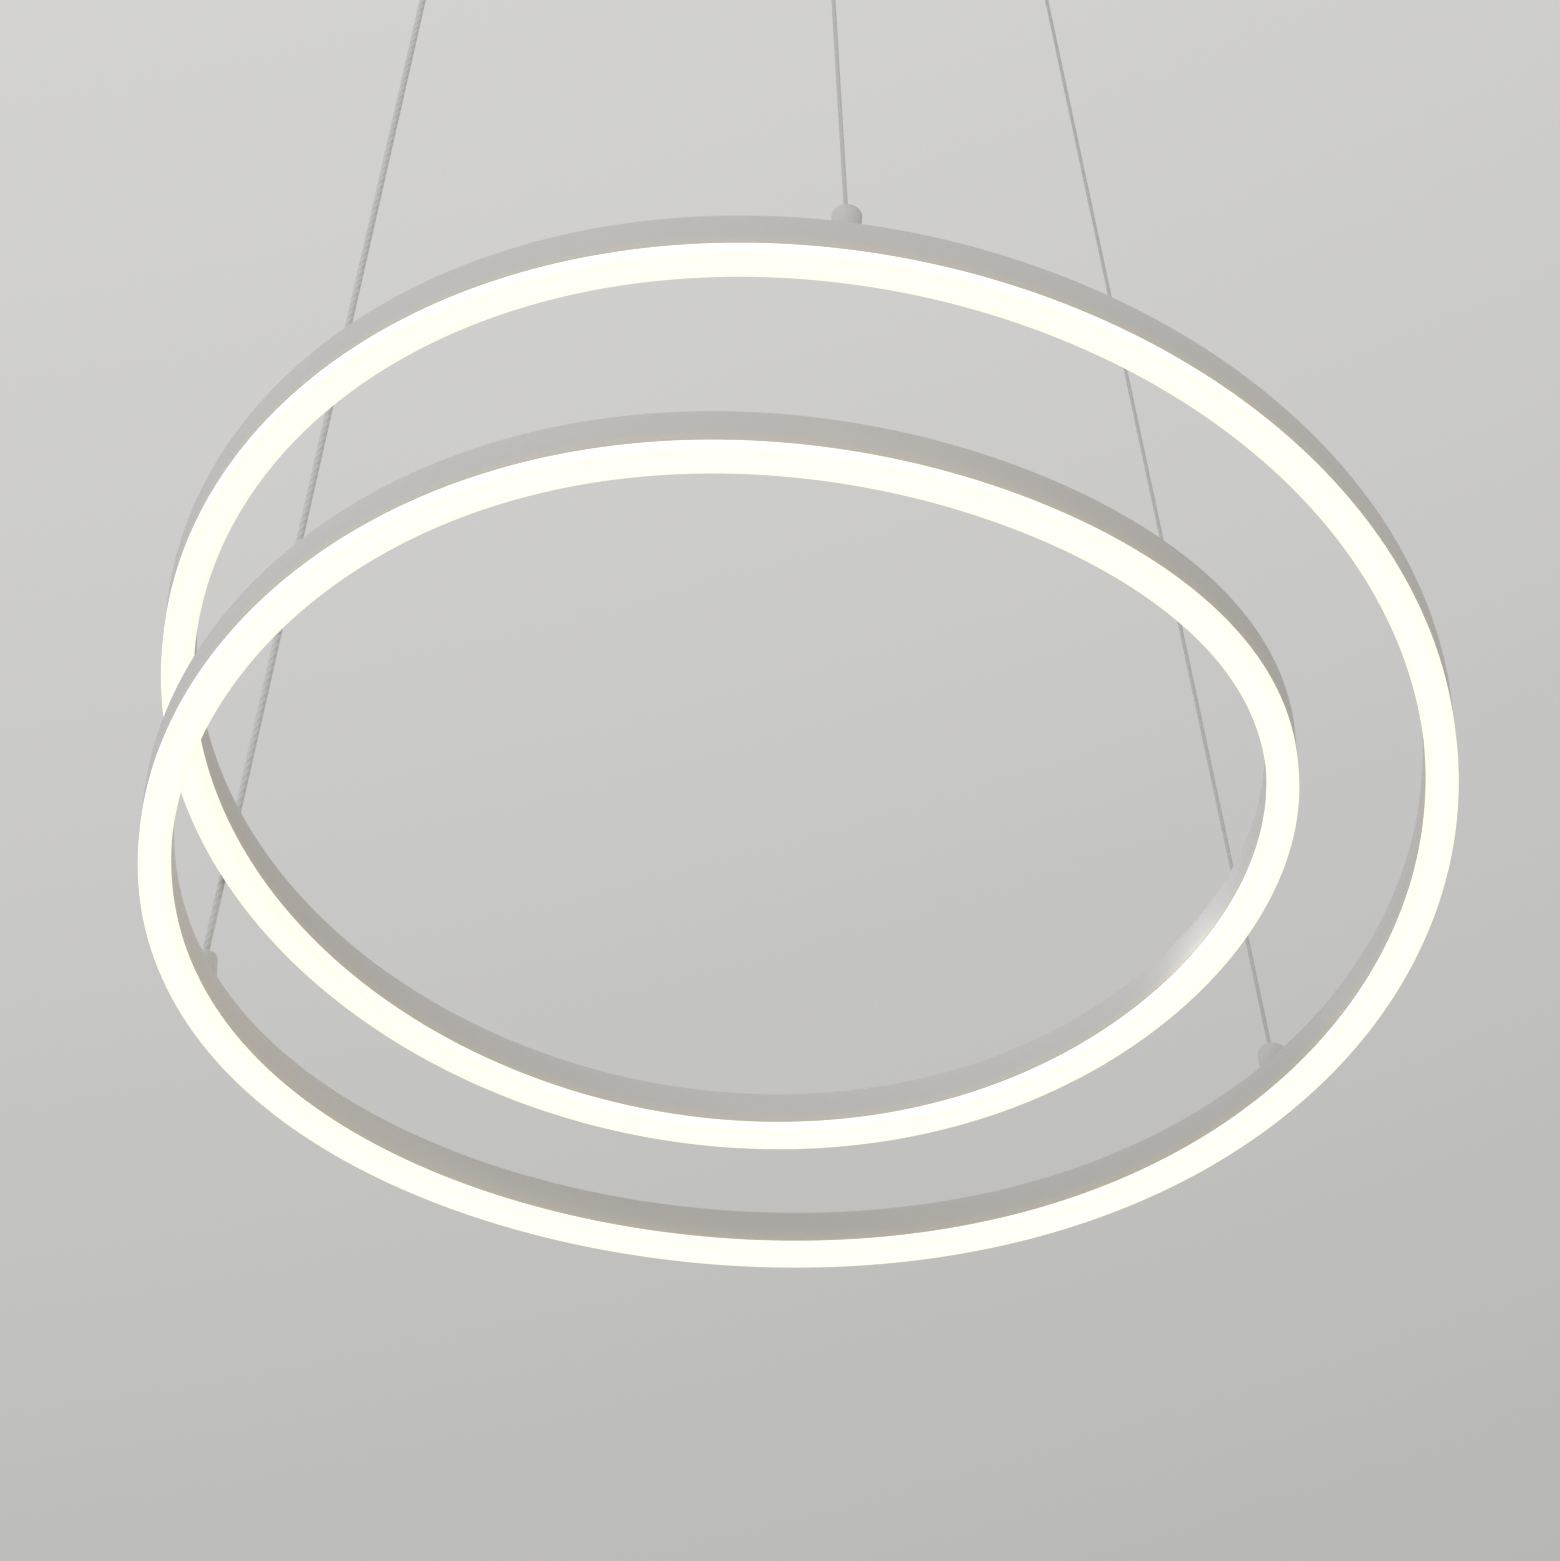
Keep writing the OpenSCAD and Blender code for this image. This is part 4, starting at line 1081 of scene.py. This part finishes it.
@dataclass(frozen=True)
class Channel:
    """The channel and its diffuser, in four sections."""

    path: LoopPath
    half_width: float = 7.5 * MM
    inner_half: float = 6.2 * MM
    wall_low: float = 6.4 * MM
    low_edge: float = 0.25 * MM
    top: float = 25.0 * MM
    chamber_top: float = 23.4 * MM
    chamber_floor: float = 16.8 * MM
    shelf: float = 15.2 * MM
    bevel: float = 0.6 * MM
    seam: float = 0.15 * MM
    diffuser_radius: float = 2.0 * MM
    diffuser_wall: float = 1.6 * MM
    leg_out: float = 6.0 * MM
    leg_in: float = 4.8 * MM
    leg_top: float = 10.0 * MM
    start: float = 75.0
    span: float = 180.0
    step: float = 1.0

    def profile_loops(self) -> tuple[Outline, list[list[int]]]:
        """The metal section.

        Returns:
            Its points, and the outer edge and the chamber as loops of them.
        """
        w, h, b, low = self.half_width, self.inner_half, self.bevel, self.low_edge
        outer = [(w, self.wall_low + low)]
        outer += arc((w - b, self.top - b), b, 0.0, 90.0, 4)
        outer += arc((b - w, self.top - b), b, 90.0, 180.0, 4)
        outer += [(-w, self.wall_low + low), (low - w, self.wall_low), (-h, self.wall_low),
                  (-h, self.shelf), (h, self.shelf), (h, self.wall_low), (w - low, self.wall_low)]
        chamber = [(-h, self.chamber_floor), (-h, self.chamber_top), (h, self.chamber_top),
                   (h, self.chamber_floor)]
        points = outer + chamber
        return points, [list(range(len(outer))), list(range(len(outer), len(points)))]

    def diffuser_loops(self) -> tuple[Outline, list[list[int]]]:
        """The opal section, from one wall under the light to the other.

        Returns:
            Its points, and its edge as a loop of them.
        """
        w, r, shoulder = self.half_width, self.diffuser_radius, self.wall_low - self.seam
        points = [(-w, shoulder)]
        points += arc((r - w, r), r, 180.0, 270.0, 6)
        points += arc((w - r, r), r, 270.0, 360.0, 6)
        points += [(w, shoulder), (self.leg_out, shoulder), (self.leg_out, self.leg_top),
                   (self.leg_in, self.leg_top), (self.leg_in, self.diffuser_wall),
                   (-self.leg_in, self.diffuser_wall), (-self.leg_in, self.leg_top),
                   (-self.leg_out, self.leg_top), (-self.leg_out, shoulder)]
        return points, [list(range(len(points)))]

    def sweep(self, name: str, points: Outline, loops: list[list[int]], start: float,
              across: Sequence[float]) -> Piece:
        """Runs a section along half a turn of the path.

        Args:
            name: The piece's name.
            points: The section, outward and up from the path.
            loops: The section's closed loops.
            start: The turn that it starts at, in degrees.
            across: The map's first coordinate at each point.

        Returns:
            The piece.
        """
        turns = [start + self.step * i for i in range(round(self.span / self.step) + 1)]
        rings = []
        for turn in turns:
            _, outward, up = self.path.axes(turn)
            middle = self.path.point(turn)
            rings.append([middle + u * outward + v * up for u, v in points])
        lengths = lengths_of([self.path.point(t) for t in turns])
        return skinned(name, rings, loops, lengths, across)

    def build(self) -> None:
        """Makes and dresses the eight sections."""
        profile, profile_loops = self.profile_loops()
        opal, opal_loops = self.diffuser_loops()
        heights = [(v - self.wall_low) / (self.top - self.wall_low) for _, v in profile]
        across = [0.5 + 0.5 * u / self.half_width for u, _ in opal]
        for place, section in enumerate(Section):
            start = self.start + self.span * place
            wall = self.sweep(f"channel_{section.value}", profile, profile_loops, start, heights)
            finish_piece(wall, PAINT, f"profile_{section.value}", smooth_deg=30.0)
            lens = self.sweep(f"opal_{section.value}", opal, opal_loops, start, across)
            finish_piece(lens, OPAL, f"diffuser_{section.value}", smooth_deg=40.0)


@dataclass(frozen=True)
class SwivelCap:
    """A cap on the channel's top, with the hole that its wire leaves by."""

    path: LoopPath
    node: str
    turn: float
    hole_radius: float
    radius: float = 6.75 * MM
    height: float = 14.0 * MM
    rounding: float = 1.8 * MM
    crown: float = 2.5 * MM
    cavity_radius: float = 4.58 * MM
    seat_level: float = 25.15 * MM
    foot_bevel: float = 0.3 * MM
    lip: float = 0.4 * MM

    def build(self) -> None:
        """Turns the cap and seats it."""
        r, top, inside = self.radius, self.height, self.height - self.crown
        outline = [(self.cavity_radius, 0.0), (r - self.foot_bevel, 0.0), (r, self.foot_bevel)]
        outline += arc((r - self.rounding, top - self.rounding), self.rounding, 0.0, 90.0, 6)
        outline += [(self.hole_radius + self.lip, top), (self.hole_radius, top - self.lip),
                    (self.hole_radius, inside), (self.cavity_radius, inside)]
        cap = turned(f"{self.node}_shell", outline)
        put(cap, self.path.seat(self.turn, self.seat_level))
        finish_piece(cap, CAP_PAINT, self.node, f"{self.node}_body", smooth_deg=30.0)


@dataclass(frozen=True)
class Suspension:
    """The two steel wires and the power cord, drawn tight from the loop to the canopy."""

    path: LoopPath
    near: Outlet
    right: Outlet
    cord: Outlet
    near_turn: float = 636.5
    right_turn: float = 37.5
    cord_turn: float = 159.2
    wire_radius: float = 1.0 * MM
    cord_radius: float = 1.75 * MM
    ball_level: float = 34.64 * MM
    ball_inset: float = 1.5 * MM
    wire_end_z: float = -29.8 * MM
    strands: int = 6
    lay: float = 14.0 * MM
    bend: float = 4.0 * MM
    corner_share: float = 0.3
    corner_reach: float = 2.0 * MM
    wire_step: float = 0.9 * MM
    cord_step: float = 5.0 * MM
    stud_levels: tuple[float, ...] = (17.8 * MM, 32.6 * MM, 36.5 * MM)
    # The cord's tail, in mm: its end seen from above, and its height at shares of the way there
    tail_end: tuple[float, float, float] = (-108.0, -19.0, 0.0)
    tail_course: Outline = field(default_factory=lambda: [
        (0, -30), (0.03, -23), (0.117, -18), (0.233, -16), (0.487, -18), (0.762, -21), (1, -23)])

    def _wire_route(self, turn: float, outlet: Outlet) -> list[Vector]:
        """A wire's line: straight from its ball to its outlet, then upright through it.

        Args:
            turn: Where its cap is on the channel, in degrees.
            outlet: The outlet.

        Returns:
            The corners of the line.
        """
        ball = self.path.on_channel(turn, self.ball_level)
        entry = outlet.at(outlet.mouth_z - self.bend)
        first = ball - self.ball_inset * (entry - ball).normalized()
        return [first, entry, outlet.at(outlet.mouth_z), outlet.at(self.wire_end_z)]

    def _cord_route(self) -> list[Vector]:
        """The cord's line: up out of the channel, to its gland, and over inside the canopy.

        Returns:
            The corners of the line.
        """
        route = [self.path.on_channel(self.cord_turn, level) for level in self.stud_levels]
        route += [self.cord.at(self.cord.mouth_z - self.bend), self.cord.at(self.cord.mouth_z)]
        start, end = self.cord.at(0.0), Vector(self.tail_end) * MM
        return route + [start.lerp(end, share) + Vector((0, 0, z)) * MM
                        for share, z in self.tail_course]

    def _rounded(self, route: list[Vector], passes: int) -> list[Vector]:
        """Cuts each corner of a route, its ends kept.

        Args:
            route: The route.
            passes: How many times its corners are cut.

        Returns:
            The rounded route.
        """
        for _ in range(passes):
            cut = [route[0]]
            for a, b, c in zip(route, route[1:], route[2:]):
                reach = min(self.corner_share * (b - a).length, self.corner_share * (c - b).length,
                            self.corner_reach)
                cut += [b + (a - b).normalized() * reach, b + (c - b).normalized() * reach]
            route = cut + [route[-1]]
        return route

    @staticmethod
    def _resampled(route: list[Vector], step: float) -> list[Vector]:
        """Divides a route evenly, its own points kept.

        Args:
            route: The route.
            step: The length between two points, at most.

        Returns:
            The points.
        """
        line = [route[0]]
        for a, b in zip(route, route[1:]):
            count = max(1, math.ceil((b - a).length / step))
            line += [a.lerp(b, (i + 1) / count) for i in range(count)]
        return line

    @staticmethod
    def _declare(piece: Piece, line: list[Vector], radius: float) -> None:
        """Works out a tube's length and thickness, and keeps neither."""
        lengths_of(line)[-1]
        2.0 * radius

    def build(self) -> None:
        """Makes both wires and the cord."""
        for name, turn, outlet in (("near", self.near_turn, self.near),
                                   ("right", self.right_turn, self.right)):
            route = self._rounded(self._wire_route(turn, outlet), 2)
            line = self._resampled(route, self.wire_step)
            wire = tube(f"steel_wire_{name}", line, self.wire_radius, sides=18,
                        lobes=self.strands, lay=self.lay)
            finish_piece(wire, ROPE, f"wire_{name}", smooth_deg=60.0)
            self._declare(wire, line, self.wire_radius)
        line = self._resampled(self._rounded(self._cord_route(), 3), self.cord_step)
        cord = tube("mains_cord", line, self.cord_radius, sides=20)
        finish_piece(cord, SHEATH, "power_cord", smooth_deg=60.0)
        self._declare(cord, line, self.cord_radius)


@dataclass(frozen=True)
class ScrewRing:
    """The places of the three screws in the canopy's side."""

    first_deg: float = -24.0
    z: float = -9.0 * MM
    letters: str = "abc"

    def turn(self, place: int) -> Matrix:
        """The turn from X to one of the screws."""
        angle = math.radians(self.first_deg + 360.0 / len(self.letters) * place)
        return Matrix.Rotation(angle, 4, "Z")

    def seat(self, place: int, radius: float) -> Matrix:
        """The placing of a piece on a screw's axis, with Z outwards."""
        return (self.turn(place) @ Matrix.Translation((radius, 0.0, self.z))
                @ Matrix.Rotation(math.pi / 2, 4, "Y"))


@dataclass(frozen=True)
class CanopyShell:
    """The canopy: a drawn cup with a rolled lower edge, three outlets and three notches."""

    screws: ScrewRing
    radius: float = 155.0 * MM
    sheet: float = 1.2 * MM
    rounding: float = 6.0 * MM
    edge: float = 0.2 * MM
    top_z: float = -1.0 * MM
    floor_z: float = -45.0 * MM
    notch: float = 4.6 * MM
    cutter: float = 10.0 * MM
    stems: tuple[tuple[float, float], ...] = ((-0.101, -0.047), (0.101, -0.047), (0.0, 0.062))
    stem_radius: float = 2.0 * MM
    stem_length: float = 9.6 * MM
    stem_bevel: tuple[float, float] = (0.4 * MM, 0.3 * MM)
    stem_foot: float = 0.6 * MM

    def _cup(self) -> Piece:
        """The bare cup, turned.

        Returns:
            The cup.
        """
        r, t, e = self.radius, self.sheet, self.rounding
        outline = [(0.0, self.floor_z)]
        outline += arc((r - e, self.floor_z + e), e, -90.0, 0.0, 8)
        outline += [(r, self.top_z - self.edge), (r - self.edge, self.top_z), (r - t, self.top_z)]
        outline += arc((r - e, self.floor_z + e), e - t, 0.0, -90.0, 8)
        outline += [(0.0, self.floor_z + t)]
        return turned("canopy_shell", outline, segments=192)

    def build(self, outlets: Iterable[Outlet]) -> None:
        """Turns the shell, cuts it and adds its stems.

        Args:
            outlets: The outlets in its floor.
        """
        shell = self._cup()
        for outlet in outlets:
            bpy.ops.mesh.primitive_cylinder_add(vertices=48, radius=outlet.hole, depth=self.cutter,
                                                location=outlet.at(self.floor_z))
            fuse(shell, bpy.context.object, Fusion.CUT)
        z = self.screws.z
        for place in range(len(self.screws.letters)):
            bpy.ops.mesh.primitive_cylinder_add(vertices=32, radius=self.notch / 2,
                                                depth=self.cutter)
            put(bpy.context.object, self.screws.seat(place, self.radius))
            fuse(shell, bpy.context.object, Fusion.CUT)
            bpy.ops.mesh.primitive_cube_add(size=1.0)
            put(bpy.context.object, self.screws.turn(place)
                @ Matrix.Translation((self.radius, 0.0, z / 2))
                @ Matrix.Diagonal((self.cutter, self.notch, -z, 1.0)))
            fuse(shell, bpy.context.object, Fusion.CUT)
        r, top = self.stem_radius, self.stem_length
        wide, high = self.stem_bevel
        section = [(0.0, 0.0), (r, 0.0), (r, top - high), (r - wide, top), (0.0, top)]
        for x, y in self.stems:
            stem = turned("stem", section, segments=32)
            put(stem, Matrix.Translation((x, y, self.floor_z + self.stem_foot)))
            fuse(shell, stem, Fusion.UNITE)
        finish_piece(shell, CANOPY_PAINT, "canopy", smooth_deg=30.0)


@dataclass(frozen=True)
class CanopyScrews:
    """Three knurled screws in the side of the canopy."""

    places: ScrewRing
    head_radius: float = 4.5 * MM
    head_length: float = 4.0 * MM
    head_from: float = 155.05 * MM
    head_bevel: float = 0.35 * MM
    shank_radius: float = 2.0 * MM
    shank_from: float = 146.9 * MM
    shank_tip: float = 0.4 * MM
    shank_overlap: float = 1.0 * MM
    grooves: int = 20
    groove_points: int = 6
    groove_depth: float = 0.35 * MM
    groove_sharpness: float = 0.7

    def _head(self) -> Piece:
        """The head: a scalloped disc, raised and bevelled.

        Returns:
            The head.
        """
        bpy.ops.object.select_all(action="DESELECT")
        bpy.ops.mesh.primitive_circle_add(vertices=self.groove_points * self.grooves,
                                          radius=self.head_radius, fill_type="NGON")
        head = bpy.context.object
        for i, vertex in enumerate(head.data.vertices):
            share = max(0.0, math.cos(math.tau * i / self.groove_points)) ** self.groove_sharpness
            vertex.co *= 1.0 - self.groove_depth * share / self.head_radius
        bpy.ops.object.mode_set(mode="EDIT")
        bpy.ops.mesh.select_all(action="SELECT")
        bpy.ops.mesh.extrude_region_move(
            TRANSFORM_OT_translate={"value": (0, 0, self.head_length)})
        bpy.ops.mesh.select_all(action="SELECT")
        bpy.ops.mesh.normals_make_consistent(inside=False)
        bpy.ops.object.mode_set(mode="OBJECT")
        bevel_edges(head, self.head_bevel, sharp_deg=70.0)
        return head

    def build(self) -> None:
        """Makes the three screws."""
        reach = self.head_from - self.shank_from
        r, tip, top = self.shank_radius, self.shank_tip, self.shank_overlap
        section = [(0.0, -reach), (r - tip, -reach), (r, tip - reach), (r, top), (0.0, top)]
        for place, letter in enumerate(self.places.letters):
            node = f"canopy_screw_{letter}"
            screw = self._head()
            fuse(screw, turned("shank", section, segments=32), Fusion.UNITE)
            screw.name = f"{node}_knurled"
            screw.data.name = screw.name
            put(screw, self.places.seat(place, self.head_from))
            finish_piece(screw, STEEL, node, f"{node}_body", smooth_deg=40.0)


@dataclass(frozen=True)
class WireAdjuster:
    """A wire adjuster: its body through the canopy, its plunger and its spring."""

    outlet: Outlet
    name: str
    body_radius: float = 6.0 * MM
    rounding: float = 2.0 * MM
    chamfer: float = 0.25 * MM
    low_z: float = -65.0 * MM
    collar_face_z: float = -45.05 * MM
    neck_top_z: float = -35.8 * MM
    thread: Thread = Thread(4.9 * MM, 1.0 * MM, 0.3 * MM, 0.15 * MM)
    thread_inset: tuple[float, float] = (1.5 * MM, 0.6 * MM)
    lip_radius: float = 3.58 * MM
    room_radius: float = 4.38 * MM
    room_low_z: float = -62.0 * MM
    room_top_z: float = -47.95 * MM
    bore_radius: float = 1.3 * MM
    plunger_radius: float = 3.5 * MM
    plunger_low_z: float = -70.0 * MM
    plunger_rounding: float = 1.0 * MM
    plunger_lip: float = 0.3 * MM
    collar_radius: float = 4.3 * MM
    collar_z: tuple[float, float] = (-61.95 * MM, -59.95 * MM)
    spring_wire: float = 0.4 * MM
    spring_gap: float = 0.05 * MM
    spring_radius: float = 3.82 * MM
    spring_turns: int = 5
    spring_points: int = 36
    travel: float = 2.5 * MM

    def body(self) -> Piece:
        """The body, turned and put on its outlet.

        Returns:
            The body.
        """
        r, n, b = self.body_radius, self.thread.radius, self.bore_radius
        face, top, e, c = self.collar_face_z, self.neck_top_z, self.rounding, self.chamfer
        above, below = self.thread_inset
        outline = [(self.lip_radius, self.low_z)]
        outline += arc((r - e, self.low_z + e), e, -90.0, 0.0, 8)
        outline += [(r, face - c), (r - c, face), (n, face)]
        outline += self.thread.ridges(face + above, top - below)
        outline += [(n - c, top), (b, top), (b, self.room_top_z),
                    (self.room_radius, self.room_top_z), (self.room_radius, self.room_low_z),
                    (self.lip_radius, self.room_low_z)]
        return self.outlet.centre(turned(f"adjuster_{self.name}_shell", outline))

    def plunger(self) -> None:
        """The release plunger, turned."""
        r, low, e, b = (self.plunger_radius, self.plunger_low_z, self.plunger_rounding,
                        self.bore_radius)
        under, over = self.collar_z
        outline = [(b, low + self.plunger_lip), (b + self.plunger_lip, low)]
        outline += arc((r - e, low + e), e, -90.0, 0.0, 6)
        outline += [(r, under), (self.collar_radius, under), (self.collar_radius, over), (b, over)]
        piece = self.outlet.centre(turned(f"plunger_{self.name}_pin", outline))
        finish_piece(piece, DARK_STEEL, f"plunger_{self.name}", f"plunger_{self.name}_body")

    def spring(self) -> None:
        """The spring, coiled from the plunger's collar up to the top of the room in the body."""
        low = self.collar_z[1] + self.spring_wire + self.spring_gap
        high = self.room_top_z - self.spring_wire - self.spring_gap
        steps = self.spring_points * self.spring_turns
        line = []
        for k in range(steps + 1):
            angle = math.tau * k / self.spring_points
            centre = self.outlet.at(low + (high - low) * k / steps)
            line.append(
                centre + self.spring_radius * Vector((math.cos(angle), math.sin(angle), 0.0)))
        piece = tube(f"spring_{self.name}_coil", line, self.spring_wire, sides=10)
        finish_piece(piece, STEEL, f"spring_{self.name}", smooth_deg=60.0)
        tuple(self.outlet.at(self.room_top_z))
        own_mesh(piece)


@dataclass(frozen=True)
class CordGland:
    """The gland of the power cord: a threaded body with a hexagonal collar, and a domed nut."""

    outlet: Outlet
    thread: Thread = Thread(6.0 * MM, 1.5 * MM, 0.45 * MM, 0.2 * MM)
    low_z: float = -61.0 * MM
    top_z: float = -35.8 * MM
    chamfer: float = 0.4 * MM
    thread_gaps: tuple[float, float] = (0.5 * MM, 1.5 * MM)
    collar_z: tuple[float, float] = (-49.05 * MM, -45.05 * MM)
    collar_flats: float = 17.0 * MM
    collar_overlap: float = 1.2 * MM
    hole_reach: float = 5.0 * MM
    sleeve_radius: float = 4.0 * MM
    sleeve_length: float = 9.05 * MM
    bore_radius: float = 2.05 * MM
    nut_radius: float = 8.0 * MM
    nut_z: tuple[float, float] = (-65.0 * MM, -50.0 * MM)
    nut_dome: float = 4.0 * MM
    nut_lip: float = 0.3 * MM
    nut_thread: float = 6.08 * MM
    nut_floor_z: float = -61.3 * MM
    ribs: int = 12
    rib_radius: float = 0.8 * MM
    rib_chamfer: float = 0.3 * MM
    rib_end: float = 1.0 * MM

    def _collar(self) -> Piece:
        """The hexagonal collar, with room for the threaded body inside it.

        Returns:
            The collar.
        """
        under, over = self.collar_z
        bpy.ops.mesh.primitive_cylinder_add(
            vertices=6, radius=self.collar_flats / math.sqrt(3.0), depth=over - under,
            location=(0.0, 0.0, (under + over) / 2), rotation=(0.0, 0.0, math.pi / 6))
        collar = bpy.context.object
        bpy.ops.object.transform_apply(location=True, rotation=True, scale=True)
        bevel_edges(collar, self.chamfer, sharp_deg=40.0)
        r = self.thread.radius - self.collar_overlap
        low, high = under - self.hole_reach, over + self.hole_reach
        hole = turned("gland_hole", [(0.0, low), (r, low), (r, high), (0.0, high)])
        fuse(collar, hole, Fusion.CUT)
        return collar

    def body(self) -> None:
        """The body: turned, with its collar."""
        under, over = self.collar_z
        r, c, low, top = self.thread.radius, self.chamfer, self.low_z, self.top_z
        step_z = low + self.sleeve_length
        below, above = self.thread_gaps
        outline = [(self.sleeve_radius, low), (r - c, low)]
        outline += self.thread.ridges(low, under - below)
        outline += self.thread.ridges(over + above, top - c)
        outline += [(r - c, top), (self.bore_radius, top), (self.bore_radius, step_z),
                    (self.sleeve_radius, step_z)]
        piece = turned("gland_thread", outline)
        fuse(piece, self._collar(), Fusion.UNITE)
        self.outlet.centre(piece)
        finish_piece(piece, WHITE, "gland_body", smooth_deg=30.0)

    def nut(self) -> None:
        """The domed nut with its ribs."""
        low, high = self.nut_z
        r, b, e, c = self.nut_radius, self.bore_radius, self.nut_dome, self.chamfer
        outline = [(b + self.nut_lip, low)]
        outline += arc((r - e, low + e), e, -90.0, 0.0, 12)
        outline += [(r, high - c), (r - c, high), (self.nut_thread, high),
                    (self.nut_thread, self.nut_floor_z), (b, self.nut_floor_z),
                    (b, low + self.nut_lip)]
        piece = turned("gland_nut_dome", outline, segments=96)
        section = pin_outline(self.rib_radius, low + e, high - self.rib_end, self.rib_chamfer)
        for k in range(self.ribs):
            rib = put(turned("rib", section, segments=16),
                      Matrix.Rotation(math.tau * k / self.ribs, 4, "Z")
                      @ Matrix.Translation((r - self.rib_radius / 2, 0.0, 0.0)))
            fuse(piece, rib, Fusion.UNITE)
        self.outlet.centre(piece)
        finish_piece(piece, WHITE, "gland_nut", "gland_nut_body")


@dataclass(frozen=True)
class InnerLeads:
    """The insulated leads on the canopy's floor, in soft curves. Their routes are in mm."""

    radius: float = 1.1 * MM
    core_radius: float = 0.6 * MM
    core_spacing: float = 1.2
    step: float = 1.0 * MM
    driver_end: float = 95.0 * MM
    driver_y: float = -47.0 * MM
    hole_z: float = -25.75 * MM

    @staticmethod
    def _from_origin(route: Route) -> list[Vector]:
        """Points told from the origin."""
        return [Vector(p) * MM for p in route]

    def _by_driver(self, side: int, route: Route) -> list[Vector]:
        """Points told from the hole in one end of the driver, outwards, back and up."""
        return [Vector((side * (self.driver_end + x * MM), self.driver_y + y * MM,
                        self.hole_z + z * MM)) for x, y, z in route]

    def _mains(self) -> None:
        """The live, neutral and earth leads."""
        live = self._from_origin(((61, 34, -38.25), (61, 24, -38.25), (65, 11, -36.05)))
        live += self._by_driver(1, (
            (-17, 47, -6.2), (-1, 36, -2.2), (10, 24, 0), (14, 11, 0), (10, 1, 0), (3, -1.3, 0),
            (-4, -1.3, 0)))
        neutral = self._from_origin(((50, 34, -38.25), (50, 22, -38.25), (55, 8, -36.05)))
        neutral += self._by_driver(1, (
            (-25, 44, -6.2), (-7, 35, -3.2), (4.5, 24.5, -1), (7.5, 13, 0), (6, 5, 0),
            (2.5, 1.3, 0), (-4, 1.3, 0)))
        earth = self._from_origin((
            (39, 34, -38.25), (39, 29.5, -38.25), (38.3, 26.8, -38.35), (36.5, 24.9, -38.65),
            (33.5, 24.1, -39.15), (24, 24.6, -40.45), (16, 27, -41.35), (9, 31.5, -41.75),
            (4, 38, -41.75), (1, 45, -41.75), (0, 51, -41.75), (0, 56, -41.75)))
        for name, points, finish in (("live_lead", live, BROWN), ("neutral_lead", neutral, BLUE),
                                     ("earth_lead", earth, GREEN)):
            piece = tube(f"{name}_wire", smooth_line(points, self.step), self.radius, sides=14)
            finish_piece(piece, finish, name, smooth_deg=60.0)

    def _output(self) -> None:
        """The two cores from the cord's end to the driver, side by side."""
        middle = self._from_origin(((-107.95, -19.1, -23.05),))
        middle += self._by_driver(-1, (
            (10, 20, 1.25), (8, 11, 0.25), (7, 4, 0), (3, 0, 0), (-4, 0, 0)))
        line = smooth_line(middle, self.step)
        cores = []
        for side in (-1, 1):
            ways = [way_at(line, i) for i in range(len(line))]
            shift = side * self.core_radius * self.core_spacing
            shifted = [point + shift * Vector((way.y, -way.x, 0)).normalized()
                       for point, way in zip(line, ways)]
            cores.append(tube(f"output_core_{side}", shifted, self.core_radius, sides=12))
        finish_piece(join_pair(*cores, "output_cores"), RED, "output_leads", smooth_deg=60.0)

    def build(self) -> None:
        """Makes the three mains leads and the two output cores."""
        self._mains()
        self._output()


def dress_nodes(frame_nodes: dict[str, Piece]) -> None:
    """Gives every CAD node the finish of its slot.

    Args:
        frame_nodes: The frame's nodes by name.
    """
    slots = {part["node"]: part["material_slot"] for part in frame["record"]["subparts"]}
    finishes = {finish.slot: finish for finish in FINISHES}
    for name, node in frame_nodes.items():
        node.data.materials.clear()
        node.data.materials.append(finishes[slots[name]].material())


def main() -> None:
    """Builds the scene."""
    logging.basicConfig(level=logging.INFO, format="%(name)s: %(message)s")
    path = LoopPath()
    near = Outlet(-86.0, mouth_z=-70 * MM, hole=5.2 * MM)
    right = Outlet(39.0, mouth_z=-70 * MM, hole=5.2 * MM)
    cord = Outlet(165.0, mouth_z=-65 * MM, hole=6.3 * MM)
    Viewpoint().build()
    hangers = Suspension(path, near, right, cord)
    hangers.build()
    Studio().build()
    dress_nodes(frame["nodes"])
    Channel(path).build()
    for name, turn, hole in (("near", hangers.near_turn, 2.0 * MM),
                             ("right", hangers.right_turn, 2.0 * MM),
                             ("cord", hangers.cord_turn, 2.75 * MM)):
        SwivelCap(path, f"swivel_cap_{name}", turn, hole).build()
    screws = ScrewRing()
    CanopyShell(screws).build((near, right, cord))
    CanopyScrews(screws).build()
    shells = []
    for name, outlet in (("near", near), ("right", right)):
        adjuster = WireAdjuster(outlet, name)
        shells.append(adjuster.body())
        adjuster.plunger()
        adjuster.spring()
    finish_piece(join_pair(*shells, "adjuster_shells"), STEEL, "adjuster_bodies")
    gland = CordGland(cord)
    gland.body()
    gland.nut()
    InnerLeads().build()


if __name__ == "__main__":
    main()
